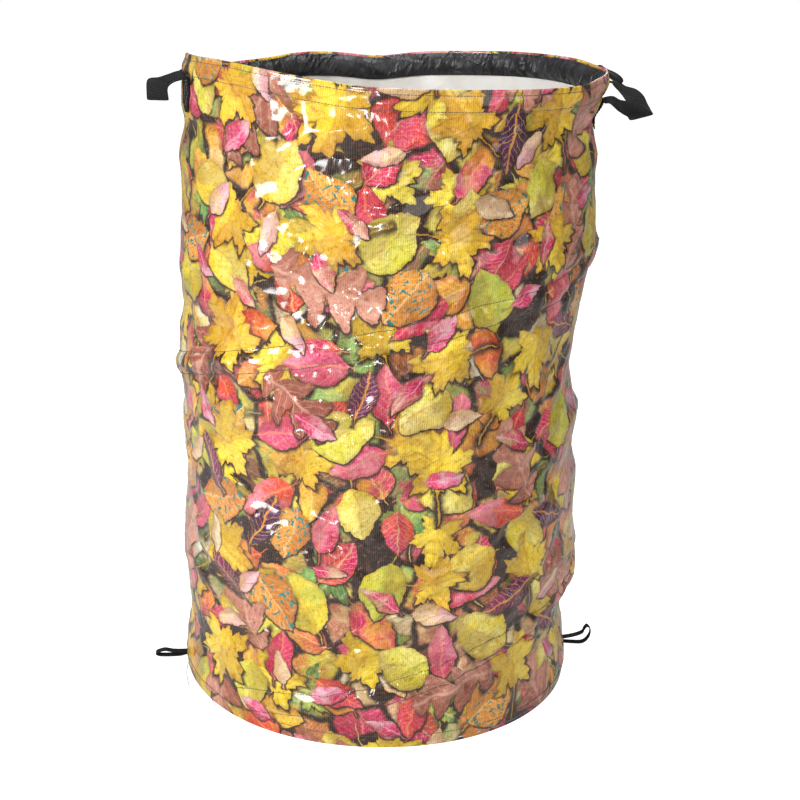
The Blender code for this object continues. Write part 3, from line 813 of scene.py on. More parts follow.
class ShaderGroup:
    """A shared shader effect with named inputs and outputs."""

    KINDS = {"number": "NodeSocketFloat", "vector": "NodeSocketVector", "colour": "NodeSocketColor"}

    def __init__(self, name: str, inputs: dict[str, tuple[str, object]], outputs: dict[str, str]) -> None:
        """Make the tree with its sockets.

        Args:
            name: Name of the effect.
            inputs: Kind and usual value of each input.
            outputs: Kind of each output.
        """
        self.tree = bpy.data.node_groups.new(name, "ShaderNodeTree")
        for label, (kind, value) in inputs.items():
            socket = self.tree.interface.new_socket(label, in_out="INPUT", socket_type=self.KINDS[kind])
            if value is not None:
                socket.default_value = value
        for label, kind in outputs.items():
            self.tree.interface.new_socket(label, in_out="OUTPUT", socket_type=self.KINDS[kind])
        self.wiring = Wiring(self.tree)
        self.given = self.wiring.add("NodeGroupInput").outputs

    def finish(self, **results: Socket) -> bpy.types.NodeTree:
        """Link the results to the outputs and return the tree."""
        end = self.wiring.add("NodeGroupOutput")
        for name, value in results.items():
            self.wiring.plug(end.inputs[name.replace("_", " ")], value)
        return self.tree


class PrintEffects:
    """Shader groups that draw the all-over leaf print, layer by layer."""

    def __init__(self) -> None:
        """Build every group once."""
        self.place = self._place()
        self.outlines = {
            LeafKind.OVAL: self._oval(),
            LeafKind.MAPLE: self._lobed(),
            LeafKind.OAK: self._oak(),
        }
        self.shade = self._shade()
        self.lay = self._lay()
        self.bed = self._bed()

    def _place(self) -> bpy.types.NodeTree:
        """Return the group that scatters leaves: one in each cell, moved, turned and sized by chance."""
        group = ShaderGroup(
            "Leaf place",
            {"Vector": ("vector", None), "Per Metre": ("number", 12.0), "Seed": ("number", 0.0),
             "Turn": ("number", 0.0), "Reach": ("number", 0.36)},
            {"Local": "vector", "Chance": "number", "Side": "number"},
        )
        w, given = group.wiring, group.given
        turned = w.add("ShaderNodeVectorRotate", rotation_type="Z_AXIS")
        w.plug(turned.inputs["Vector"], given["Vector"])
        w.plug(turned.inputs["Angle"], given["Turn"])
        scaled = w.vector("SCALE", turned.outputs[0], scale=given["Per Metre"])
        moved = w.vector("ADD", scaled, w.whole(given["Seed"], given["Seed"]))
        cell = w.vector("FLOOR", moved)
        inside = w.vector("SUBTRACT", w.vector("SUBTRACT", moved, cell), (0.5, 0.5, 0.0))
        key = w.vector("ADD", cell, w.whole(0.0, 0.0, given["Seed"]))
        dice = w.add("ShaderNodeTexWhiteNoise", noise_dimensions="3D")
        w.plug(dice.inputs["Vector"], key)
        red, green, blue = w.parts(dice.outputs["Color"])
        spare = w.math("SUBTRACT", 0.5, given["Reach"])
        shift = w.vector("SCALE", w.whole(w.math("SUBTRACT", red, 0.5), w.math("SUBTRACT", green, 0.5)),
                         scale=w.math("MULTIPLY", spare, 2.0))
        local = w.vector("SUBTRACT", inside, shift)
        spun = w.add("ShaderNodeVectorRotate", rotation_type="Z_AXIS")
        w.plug(spun.inputs["Vector"], local)
        w.plug(spun.inputs["Angle"], w.math("MULTIPLY", blue, math.tau))
        grown = w.math("MULTIPLY", w.smooth(green, 0.0, 1.0, 0.78, 1.0), given["Reach"])
        final = w.vector("SCALE", spun.outputs[0], scale=w.math("DIVIDE", 1.0, grown))
        level = w.add("ShaderNodeVectorRotate", rotation_type="Z_AXIS")
        w.plug(level.inputs["Vector"], local)
        w.plug(level.inputs["Angle"], w.math("MULTIPLY", given["Turn"], -1.0))
        across, up, _ = w.parts(level.outputs[0])
        side = w.math("DIVIDE", w.math("MULTIPLY_ADD", across, 0.5, w.math("MULTIPLY", up, -1.0)), grown)
        return group.finish(Local=final, Chance=dice.outputs["Value"], Side=side)

    def _outline(self, kind: LeafKind) -> tuple[ShaderGroup, Wiring, Socket, Socket]:
        """Return an empty group for a leaf's outline, its wiring, and the place along and across the leaf."""
        group = ShaderGroup(
            kind.value, {"Local": ("vector", None), "Width": ("number", 0.5)}, {"Inside": "number"}
        )
        x, y, _ = group.wiring.parts(group.given["Local"])
        return group, group.wiring, x, y

    def _bulge(self, w: Wiring, x: Socket, power: float) -> Socket:
        """Return the half width of a round blade along its length."""
        rest = w.math("SUBTRACT", 1.0, w.math("MULTIPLY", x, x))
        return w.math("POWER", w.math("MAXIMUM", rest, 0.0), power)

    def _oval(self) -> bpy.types.NodeTree:
        """Return the outline of a plain leaf with a pointed tip and a stalk."""
        group, w, x, y = self._outline(LeafKind.OVAL)
        side = w.math("ABSOLUTE", y)
        swell = self._bulge(w, x, 0.8)
        taper = w.math("MULTIPLY_ADD", x, -0.28, 1.0)
        half = w.math("MULTIPLY", w.math("MULTIPLY", swell, taper), group.given["Width"])
        beyond = w.math("MAXIMUM", w.math("SUBTRACT", w.math("ABSOLUTE", x), 1.0), 0.0)
        blade = w.math("SUBTRACT", w.math("SUBTRACT", half, side), beyond)
        stalk = w.math("MINIMUM", w.math("SUBTRACT", 0.030, side), w.math("ADD", x, 1.30))
        stalk = w.math("MINIMUM", stalk, w.math("SUBTRACT", -0.8, x))
        return group.finish(Inside=w.math("MAXIMUM", blade, stalk))

    def _lobed(self) -> bpy.types.NodeTree:
        """Return the outline of a leaf with five pointed lobes."""
        group, w, x, y = self._outline(LeafKind.MAPLE)
        angle = w.math("ARCTAN2", y, x)
        reach = w.length(group.given["Local"])
        lobes = w.math("COSINE", w.math("MULTIPLY", angle, 5.6))
        teeth = w.math("PINGPONG", w.math("MULTIPLY", angle, 3.3), 0.5)
        edge = w.math("MULTIPLY_ADD", lobes, 0.16, w.math("MULTIPLY_ADD", teeth, 0.26, 0.64))
        edge = w.math("MULTIPLY", edge, w.math("MULTIPLY_ADD", w.math("COSINE", angle), 0.12, 0.90))
        blade = w.math("SUBTRACT", edge, reach)
        side = w.math("ABSOLUTE", y)
        stalk = w.math("MINIMUM", w.math("SUBTRACT", 0.028, side), w.math("ADD", x, 1.15))
        stalk = w.math("MINIMUM", stalk, w.math("SUBTRACT", -0.3, x))
        return group.finish(Inside=w.math("MAXIMUM", blade, stalk))

    def _oak(self) -> bpy.types.NodeTree:
        """Return the outline of a long leaf with deep rounded bays."""
        group, w, x, y = self._outline(LeafKind.OAK)
        side = w.math("ABSOLUTE", y)
        swell = self._bulge(w, x, 0.5)
        lean = w.math("MULTIPLY_ADD", side, -0.55, x)
        bays = w.math("ABSOLUTE", w.math("SINE", w.math("MULTIPLY_ADD", lean, 5.4, 0.6)))
        half = w.math("MULTIPLY", swell, w.math("MULTIPLY_ADD", bays, 0.80, 0.20))
        half = w.math("MULTIPLY", half, group.given["Width"])
        beyond = w.math("MAXIMUM", w.math("SUBTRACT", w.math("ABSOLUTE", x), 1.0), 0.0)
        return group.finish(Inside=w.math("SUBTRACT", w.math("SUBTRACT", half, side), beyond))

    def _shade(self) -> bpy.types.NodeTree:
        """Return the group that colours a leaf: two tones, blotches, veins and a fold."""
        group = ShaderGroup(
            "Leaf shade",
            {"Local": ("vector", None), "Chance": ("number", 0.5), "Main": ("colour", None),
             "Second": ("colour", None), "Vein": ("colour", None), "Vein Strength": ("number", 0.35)},
            {"Colour": "colour"},
        )
        w, given = group.wiring, group.given
        x, y, _ = w.parts(given["Local"])
        side = w.math("ABSOLUTE", y)
        apart = w.math("MULTIPLY", given["Chance"], 37.0)
        place = w.vector("ADD", given["Local"], w.whole(apart, apart))
        cloud = w.noise(place, 1.3, 3.0, 0.55)
        lean = w.math("MULTIPLY_ADD", x, 0.30, w.math("MULTIPLY_ADD", cloud, 2.2, -1.1))
        colour = w.mix(w.smooth(lean, -0.34, 0.42), given["Main"], given["Second"])
        grain = w.noise(place, 9.0, 4.0, 0.70)
        colour = w.mix(w.smooth(grain, 0.54, 0.72, 0.0, 0.40), colour, (1.0, 0.90, 0.62, 1.0))
        colour = w.mix(w.smooth(grain, 0.50, 0.30, 0.0, 0.70), colour, (0.52, 0.26, 0.06, 1.0), "MULTIPLY")
        ribs = w.math("FRACT", w.math("MULTIPLY_ADD", side, -4.2, w.math("MULTIPLY", x, 4.6)))
        ribs = w.smooth(w.math("ABSOLUTE", w.math("SUBTRACT", ribs, 0.5)), 0.11, 0.02, 0.0, 0.7)
        veins = w.math("MAXIMUM", ribs, w.smooth(side, 0.050, 0.015))
        colour = w.mix(w.math("MULTIPLY", veins, given["Vein Strength"]), colour, given["Vein"])
        fold = w.smooth(w.math("MULTIPLY_ADD", cloud, 0.9, y), 0.30, 0.62, 0.0, 0.55)
        colour = w.mix(fold, colour, (0.50, 0.34, 0.22, 1.0), "MULTIPLY")
        return group.finish(Colour=colour)

    def _bed(self) -> bpy.types.NodeTree:
        """Return the group that packs the lowest leaves edge to edge, with dark gaps between them."""
        group = ShaderGroup(
            "Leaf bed", {"Vector": ("vector", None)},
            {"Local": "vector", "Chance": "number", "Other": "number", "Gap": "number"},
        )
        w, given = group.wiring, group.given
        cells, edges = (
            w.add("ShaderNodeTexVoronoi", voronoi_dimensions="2D", feature=feature)
            for feature in ("F1", "DISTANCE_TO_EDGE")
        )
        for node in (cells, edges):
            w.plug(node.inputs["Vector"], given["Vector"])
            w.plug(node.inputs["Scale"], 1.0)
        chance, other, turn = w.parts(cells.outputs["Color"])
        spun = w.add("ShaderNodeVectorRotate", rotation_type="Z_AXIS")
        w.plug(spun.inputs["Vector"], w.vector("SUBTRACT", given["Vector"], cells.outputs["Position"]))
        w.plug(spun.inputs["Angle"], w.math("MULTIPLY", turn, math.tau))
        local = w.vector("SCALE", spun.outputs[0], scale=1.7)
        seam = w.smooth(edges.outputs["Distance"], 0.150, 0.030)
        gap = w.math("MAXIMUM", seam, w.smooth(other, 0.20, 0.19))
        return group.finish(Local=local, Chance=chance, Other=other, Gap=gap)

    def _lay(self) -> bpy.types.NodeTree:
        """Return the group that lays a leaf over what is below, with a soft shadow round it."""
        group = ShaderGroup(
            "Lay leaf",
            {"Below": ("colour", None), "Leaf": ("colour", None), "Inside": ("number", 0.0),
             "Chance": ("number", 0.0), "Fill": ("number", 1.0), "Side": ("number", 0.0)},
            {"Colour": "colour"},
        )
        w, given = group.wiring, group.given
        there = w.math("LESS_THAN", w.math("FRACT", w.math("MULTIPLY", given["Chance"], 7.31)), given["Fill"])
        lee = w.smooth(given["Side"], -0.35, 0.45, 0.20, 1.0)
        dim = w.math("MULTIPLY", w.smooth(given["Inside"], -0.15, -0.01, 0.0, lee), there)
        below = w.mix(dim, given["Below"], (0.030, 0.012, 0.008, 1.0))
        edge = w.smooth(given["Inside"], 0.160, 0.010, 0.0, 0.45)
        leaf = w.mix(edge, given["Leaf"], (0.50, 0.34, 0.16, 1.0), "MULTIPLY")
        cover = w.math("MULTIPLY", w.smooth(given["Inside"], 0.0, 0.028), there)
        return group.finish(Colour=w.mix(cover, below, leaf))


@dataclass(frozen=True)
class LeafLayer:
    """One layer of scattered leaves in the print."""

    kind: LeafKind
    per_metre: float
    seed: float
    main: tuple[str, ...]
    second: tuple[str, ...]
    fill: float = 1.0
    width: float = 0.5
    reach: float = 0.38
    vein: str = "FFF0B0"
    vein_strength: float = 0.40
    specks: str = ""


@dataclass(frozen=True)
class LeafPrint:
    """Glossy laminated woven cloth with an all-over print of autumn leaves."""

    name: str = "leaf_print_cloth"
    bed_per_metre: float = 23.0
    bed_main: tuple[str, ...] = (
        "E8C832", "C8B840", "E68A30", "86A850", "DE4038", "E8A92A", "B87458", "D0C83A", "8A4630", "D8C8A0",
        "56703A", "C8185C",
    )
    bed_second: tuple[str, ...] = ("E8C83A", "C87830", "8CB060", "E8CC98", "D84A70")
    layers: tuple[LeafLayer, ...] = (
        LeafLayer(LeafKind.MAPLE, 10.0, 27.9, ("7CAC50", "B6C04A", "D8CA3E"), ("E8D440", "5E9A4E"), fill=0.74,
                  reach=0.46),
        LeafLayer(LeafKind.OVAL, 14.0, 41.2, ("E68A30", "E0482E", "E8A92A", "D8345A", "DDE0D0", "E2604A"),
                  ("F0C83A", "D42468", "F0B050"), fill=0.85, width=0.62, reach=0.45),
        LeafLayer(LeafKind.MAPLE, 8.8, 58.6, ("F0D030", "EED02E", "E8B62C"), ("F6E048", "DCC030"), fill=0.86,
                  reach=0.47, vein="D09018"),
        LeafLayer(LeafKind.OVAL, 12.2, 73.1, ("D0185E", "D84A78", "E0482E", "D8244A"),
                  ("EE90A8", "F0A83A", "E04870"), fill=0.88, width=0.50, reach=0.45, vein="FFB070"),
        LeafLayer(LeafKind.OVAL, 11.0, 88.4, ("E8D030", "D4CE40", "EBC62A"), ("F2E680", "BCC84A"),
                  fill=0.66, width=0.72, reach=0.44, vein="CCA024"),
        LeafLayer(LeafKind.OVAL, 11.2, 131.9, ("E69A36", "E08A2C"), ("F0AC40", "E0903A"), fill=0.38,
                  width=0.78, reach=0.43, specks="1E7E78"),
        LeafLayer(LeafKind.OAK, 7.8, 149.3, ("C07E6C", "B06452"), ("DA9A86", "9A5244"), fill=0.52,
                  width=0.66, reach=0.48, vein="EABCA4", vein_strength=0.5),
        LeafLayer(LeafKind.MAPLE, 8.2, 97.7, ("ECB82C", "EECC2E", "F2D030"), ("F6D840", "F0C038"),
                  fill=0.58, reach=0.47, vein="C07E18"),
        LeafLayer(LeafKind.OVAL, 10.4, 167.1, ("42184A", "701C58", "341640"), ("962468", "5E2860"), fill=0.24,
                  width=0.46, vein="F0A838", vein_strength=0.85),
        LeafLayer(LeafKind.OVAL, 14.5, 183.7, ("D0185E", "E8C68C", "E02E70", "ECD4A4"), ("F0B8CC", "EACCA0"),
                  fill=0.50, width=0.44, vein="F6D0DC"),
    )


class Finishes:
    """Every material of the bag."""

    def __init__(self) -> None:
        """Build the shared effects and the materials."""
        self.effects = PrintEffects()
        self.weave = self._weave_group()
        self.crinkle = self._crinkle_group()
        self.print = self._leaf_print(LeafPrint())
        self.lining = self._lining()
        self.tape = self._textile("black_facing_tape", "101012", "1C1C1F", 0.55, 1500.0, 0.0002, 0.03)
        self.facing = self._facing()
        self.webbing = self._textile("black_webbing_weave", "0B0B0C", "1D1D20", 0.68, 620.0, 0.0004, 0.05)
        self.elastic = self._textile("black_elastic_braid", "0C0C0D", "202022", 0.60, 900.0, 0.0003, 0.05)
        self.thread = self._thread("dark_sewing_thread", "2A2320")
        self.pale_thread = self._thread("pale_loose_thread", "8A837C")
        self.plastic = self._plastic()
        self.steel = self._steel()

    def _shader(self, name: str) -> tuple[bpy.types.Material, Wiring, bpy.types.Node]:
        """Return a new material, its wiring and its shader."""
        material = bpy.data.materials.new(name)
        material.use_nodes = True
        tree = material.node_tree
        shader = tree.nodes["Principled BSDF"]
        return material, Wiring(tree), shader

    def _bump(
        self, w: Wiring, shader: bpy.types.Node, height: Socket, strength: float, distance: float,
        over: Socket | None = None,
    ) -> Socket:
        """Give a shader the normal of a height.

        Args:
            w: Wiring of the material.
            shader: Shader whose normal is set.
            height: Height from 0 to 1.
            strength: Share of the bump that is used.
            distance: Depth in metres.
            over: Normal that it is laid over.

        Returns:
            The normal.
        """
        bump = w.add("ShaderNodeBump")
        w.plug(bump.inputs["Height"], height)
        if over is not None:
            w.plug(bump.inputs["Normal"], over)
        bump.inputs["Strength"].default_value = strength
        bump.inputs["Distance"].default_value = distance
        w.plug(shader.inputs["Normal"], bump.outputs[0])
        return bump.outputs[0]

    def _weave_group(self) -> bpy.types.NodeTree:
        """Return fine crossed ribs as a height from 0 to 1."""
        group = ShaderGroup(
            "Woven ribs",
            {"Vector": ("vector", None), "Along": ("number", 900.0), "Across": ("number", 900.0)},
            {"Height": "number"},
        )
        w = group.wiring
        x, y, _ = w.parts(group.given["Vector"])
        warp = w.math("SINE", w.math("MULTIPLY", x, w.math("MULTIPLY", group.given["Along"], math.pi)))
        weft = w.math("SINE", w.math("MULTIPLY", y, w.math("MULTIPLY", group.given["Across"], math.pi)))
        both = w.math("MULTIPLY", warp, w.math("MULTIPLY_ADD", weft, 0.30, 0.70))
        both = w.math("MULTIPLY_ADD", both, 0.5, 0.5)
        return group.finish(Height=both)

    def _crinkle_group(self) -> bpy.types.NodeTree:
        """Return the sharp small folds of stiff film as a height from 0 to 1."""
        group = ShaderGroup(
            "Film crinkle",
            {"Vector": ("vector", None), "Scale": ("number", 30.0)},
            {"Height": "number"},
        )
        w, given = group.wiring, group.given
        scale = given["Scale"]
        lean = w.add("ShaderNodeVectorRotate", rotation_type="Y_AXIS")
        w.plug(lean.inputs["Vector"], given["Vector"])
        w.plug(lean.inputs["Angle"], 0.45)
        drawn = w.vector("MULTIPLY", lean.outputs[0], (0.55, 0.55, 1.5))
        broad = w.noise(drawn, w.math("MULTIPLY", scale, 0.42), 1.0, 0.4)
        crest = w.smooth(w.math("ABSOLUTE", w.math("SUBTRACT", broad, 0.5)), 0.050, 0.0)
        where = w.noise(given["Vector"], w.math("MULTIPLY", scale, 0.55), 1.0)
        crest = w.math("MULTIPLY", crest, w.smooth(where, 0.44, 0.60))
        close = w.noise(drawn, w.math("MULTIPLY", scale, 1.7), 1.5, 0.5)
        small = w.smooth(w.math("ABSOLUTE", w.math("SUBTRACT", close, 0.5)), 0.10, 0.0)
        small = w.math("MULTIPLY", small, w.smooth(where, 0.60, 0.40, 0.25, 1.0))
        swell = w.noise(given["Vector"], w.math("MULTIPLY", scale, 0.9), 3.0, 0.55)
        total = w.math("MULTIPLY_ADD", crest, 0.34, w.math("MULTIPLY_ADD", small, 0.16, swell))
        return group.finish(Height=total)

    def _leaf_print(self, kind: LeafPrint) -> bpy.types.Material:
        """Return the printed cloth.

        Args:
            kind: Ground colours and leaf layers of the print.

        Returns:
            The material.
        """
        material, w, shader = self._shader(kind.name)
        uv = w.add("ShaderNodeUVMap", uv_map="cloth").outputs[0]
        wander = w.noise(uv, 26.0, 4.0, 0.6).node.outputs["Color"]
        flat = w.vector("ADD", uv, w.vector("SCALE", wander, scale=0.022))
        colour = self._leaf_bed(w, flat, kind)
        for layer in kind.layers:
            colour = self._leaf_layer(w, flat, colour, layer)
        ribs = w.use(self.weave, Vector=uv, Along=900.0, Across=420.0)["Height"]
        # Painted shade: the print darkens towards brown in the low grooves between the woven ribs.
        colour = w.mix(w.smooth(ribs, 0.55, 0.15, 0.0, 0.16), colour, (0.30, 0.20, 0.12, 1.0))
        made = w.add("ShaderNodeTexCoord").outputs["Object"]
        dust = w.noise(made, 14.0, 3.0, 0.6)
        w.plug(shader.inputs["Base Color"], colour)
        w.plug(shader.inputs["Roughness"], w.smooth(dust, 0.30, 0.75, 0.30, 0.44))
        shader.inputs["Specular IOR Level"].default_value = 0.15
        shader.inputs["Coat Weight"].default_value = 0.85
        shader.inputs["Coat Roughness"].default_value = 0.12
        film = w.use(self.crinkle, Vector=made, Scale=34.0)["Height"]
        folds = self._bump(w, shader, film, 1.0, 0.0044)
        self._bump(w, shader, ribs, 1.0, 0.0003, over=folds)
        return material

    def _leaf_bed(self, w: Wiring, flat: Socket, kind: LeafPrint) -> Socket:
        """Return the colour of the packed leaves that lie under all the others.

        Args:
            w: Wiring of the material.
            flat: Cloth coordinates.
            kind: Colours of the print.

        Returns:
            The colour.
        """
        bed = w.use(self.effects.bed, Vector=w.vector("SCALE", flat, scale=kind.bed_per_metre))
        leaf = w.use(
            self.effects.shade, Local=bed["Local"], Chance=bed["Chance"],
            Main=w.palette(bed["Chance"], kind.bed_main), Second=w.palette(bed["Other"], kind.bed_second),
            Vein=hex_colour("F0DCA0"), Vein_Strength=0.3,
        )["Colour"]
        litter = w.noise(flat, 210.0, 3.0, 0.7)
        ground = w.mix(w.smooth(litter, 0.50, 0.66), (0.012, 0.006, 0.005, 1.0), (0.105, 0.036, 0.020, 1.0))
        ground = w.mix(w.smooth(litter, 0.665, 0.70), ground, (0.50, 0.42, 0.33, 1.0))
        return w.mix(bed["Gap"], leaf, ground)

    def _leaf_layer(self, w: Wiring, flat: Socket, below: Socket, layer: LeafLayer) -> Socket:
        """Lay one layer of leaves over the print so far.

        Args:
            w: Wiring of the material.
            flat: Cloth coordinates.
            below: Colour of what lies below.
            layer: The layer's leaves.

        Returns:
            The colour with the layer on it.
        """
        placed = w.use(
            self.effects.place, Vector=flat, Per_Metre=layer.per_metre, Seed=layer.seed,
            Turn=layer.seed * 0.37, Reach=layer.reach,
        )
        local, chance = placed["Local"], placed["Chance"]
        inside = w.use(self.effects.outlines[layer.kind], Local=local, Width=layer.width)["Inside"]
        main = w.palette(chance, layer.main)
        second = w.palette(w.math("FRACT", w.math("MULTIPLY", chance, 13.7)), layer.second)
        leaf = w.use(
            self.effects.shade, Local=local, Chance=chance, Main=main, Second=second,
            Vein=hex_colour(layer.vein), Vein_Strength=layer.vein_strength,
        )["Colour"]
        if layer.specks:
            spots = w.noise(local, 5.5, 3.0, 0.6)
            leaf = w.mix(w.smooth(spots, 0.56, 0.60), leaf, hex_colour(layer.specks))
        return w.use(
            self.effects.lay, Below=below, Leaf=leaf, Inside=inside, Chance=chance, Fill=layer.fill,
            Side=placed["Side"],
        )["Colour"]

    def _lining(self) -> bpy.types.Material:
        """Return the white inner side, with the print just showing through."""
        material, w, shader = self._shader("white_inner_cloth")
        made = w.add("ShaderNodeTexCoord").outputs["Object"]
        cloud = w.noise(made, 16.0, 3.0, 0.6)
        tone = w.mix(w.smooth(cloud, 0.42, 0.70, 0.0, 0.55), hex_colour("F6F4F0"), hex_colour("E6E0D6"))
        tint = w.noise(made, 24.0, 2.0)
        tone = w.mix(w.smooth(tint, 0.55, 0.75, 0.0, 0.20), tone, hex_colour("D8CFA8"))
        w.plug(shader.inputs["Base Color"], tone)
        w.plug(shader.inputs["Roughness"], w.smooth(cloud, 0.3, 0.7, 0.42, 0.56))
        film = w.use(self.crinkle, Vector=made, Scale=26.0)["Height"]
        self._bump(w, shader, film, 0.5, 0.003)
        return material

    def _facing(self) -> bpy.types.Material:
        """Return the black lining cloth of the rim, slightly shiny and creased."""
        material, w, shader = self._shader("black_facing_cloth")
        made = w.add("ShaderNodeTexCoord").outputs["Object"]
        uv = w.add("ShaderNodeUVMap", uv_map="cloth").outputs[0]
        weave = w.use(self.weave, Vector=uv, Along=1400.0, Across=1400.0)["Height"]
        cloud = w.noise(made, 30.0, 4.0, 0.6)
        colour = w.mix(w.smooth(cloud, 0.35, 0.70), hex_colour("1A1A1C"), hex_colour("333336"))
        # Painted shade: the cloth darkens where the weave's height is low, in the grooves between the
        # threads.
        colour = w.mix(w.smooth(weave, 0.6, 0.1, 0.0, 0.4), colour, hex_colour("0C0C0E"))
        w.plug(shader.inputs["Base Color"], colour)
        w.plug(shader.inputs["Roughness"], w.smooth(cloud, 0.3, 0.7, 0.34, 0.50))
        upright = w.vector("MULTIPLY", made, (1.0, 1.0, 0.35))
        self._bump(w, shader, w.use(self.crinkle, Vector=upright, Scale=46.0)["Height"], 1.0, 0.0075)
        return material

    def _textile(
        self, name: str, dark: str, light: str, rough: float, ribs: float, depth: float, worn: float
    ) -> bpy.types.Material:
        """Return a woven black textile.

        Args:
            name: Name of the material.
            dark: Screen colour between the ribs, painted shade in the grooves.
            light: Screen colour on the ribs, painted lighter as if lit.
            rough: Middle roughness.
            ribs: Ribs per metre along the piece.
            depth: Depth of the ribs in metres.
            worn: Share of paler wear.

        Returns:
            The material.
        """
        material, w, shader = self._shader(name)
        uv = w.add("ShaderNodeUVMap", uv_map="cloth").outputs[0]
        weave = w.use(self.weave, Vector=uv, Along=ribs, Across=ribs * 1.9)["Height"]
        made = w.add("ShaderNodeTexCoord").outputs["Object"]
        cloud = w.noise(made, 70.0, 4.0, 0.6)
        # Painted shade and light: the weave's height darkens the grooves between the ribs and lightens their
        # tops.
        colour = w.mix(weave, hex_colour(dark), hex_colour(light))
        colour = w.mix(w.smooth(cloud, 0.50, 0.80, 0.0, worn), colour, hex_colour("8A8784"))
        w.plug(shader.inputs["Base Color"], colour)
        w.plug(shader.inputs["Roughness"], w.smooth(cloud, 0.25, 0.75, rough - 0.08, rough + 0.10))
        shader.inputs["Specular IOR Level"].default_value = 0.25
        self._bump(w, shader, w.math("MULTIPLY_ADD", cloud, 0.6, weave), 0.6, depth)
        return material

    def _thread(self, name: str, code: str) -> bpy.types.Material:
        """Return sewing thread of one colour, with its twist."""
        material, w, shader = self._shader(name)
        made = w.add("ShaderNodeTexCoord").outputs["Object"]
        strands = w.noise(made, 2600.0, 2.0)
        tone = w.mix(w.smooth(strands, 0.35, 0.65, 0.0, 0.5), hex_colour(code), (0.30, 0.27, 0.25, 1.0))
        w.plug(shader.inputs["Base Color"], tone)
        w.plug(shader.inputs["Roughness"], w.smooth(strands, 0.3, 0.7, 0.5, 0.7))
        return material

    def _plastic(self) -> bpy.types.Material:
        """Return black moulded plastic with a satin face and slight scuffs."""
        material, w, shader = self._shader("black_moulded_plastic")
        made = w.add("ShaderNodeTexCoord").outputs["Object"]
        grain = w.noise(made, 900.0, 3.0, 0.6)
        scuff = w.noise(made, 120.0, 4.0, 0.7)
        tone = w.mix(w.smooth(scuff, 0.58, 0.78, 0.0, 0.35), hex_colour("141415"), hex_colour("3C3C3F"))
        w.plug(shader.inputs["Base Color"], tone)
        w.plug(shader.inputs["Roughness"], w.smooth(scuff, 0.3, 0.7, 0.34, 0.52))
        self._bump(w, shader, grain, 0.25, 0.0001)
        return material

    def _steel(self) -> bpy.types.Material:
        """Return bright drawn spring wire with fine drawing marks."""
        material, w, shader = self._shader("drawn_spring_steel")
        made = w.add("ShaderNodeTexCoord").outputs["Object"]
        marks = w.noise(made, 700.0, 3.0, 0.6)
        tone = w.mix(w.smooth(marks, 0.35, 0.7), hex_colour("A8A9AC"), hex_colour("C9CACD"))
        w.plug(shader.inputs["Base Color"], tone)
        w.plug(shader.inputs["Roughness"], w.smooth(marks, 0.3, 0.7, 0.22, 0.38))
        shader.inputs["Metallic"].default_value = 1.0
        return material


def attach(piece: bpy.types.Object, body: str, slot: str, *nodes: str) -> bpy.types.Object:
    """Let a piece ride on a body.

    Args:
        piece: The piece.
        body: Body that carries it.
        slot: Name of its material's slot; not used.
        *nodes: CAD nodes that it stands for.

    Returns:
        The piece.
    """
    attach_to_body(piece, body)
    if nodes:
        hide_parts(*nodes)
    return piece


def press_flat(piece: bpy.types.Object) -> None:
    """Give a piece of the wall its own copy of its mesh."""
    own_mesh(piece)


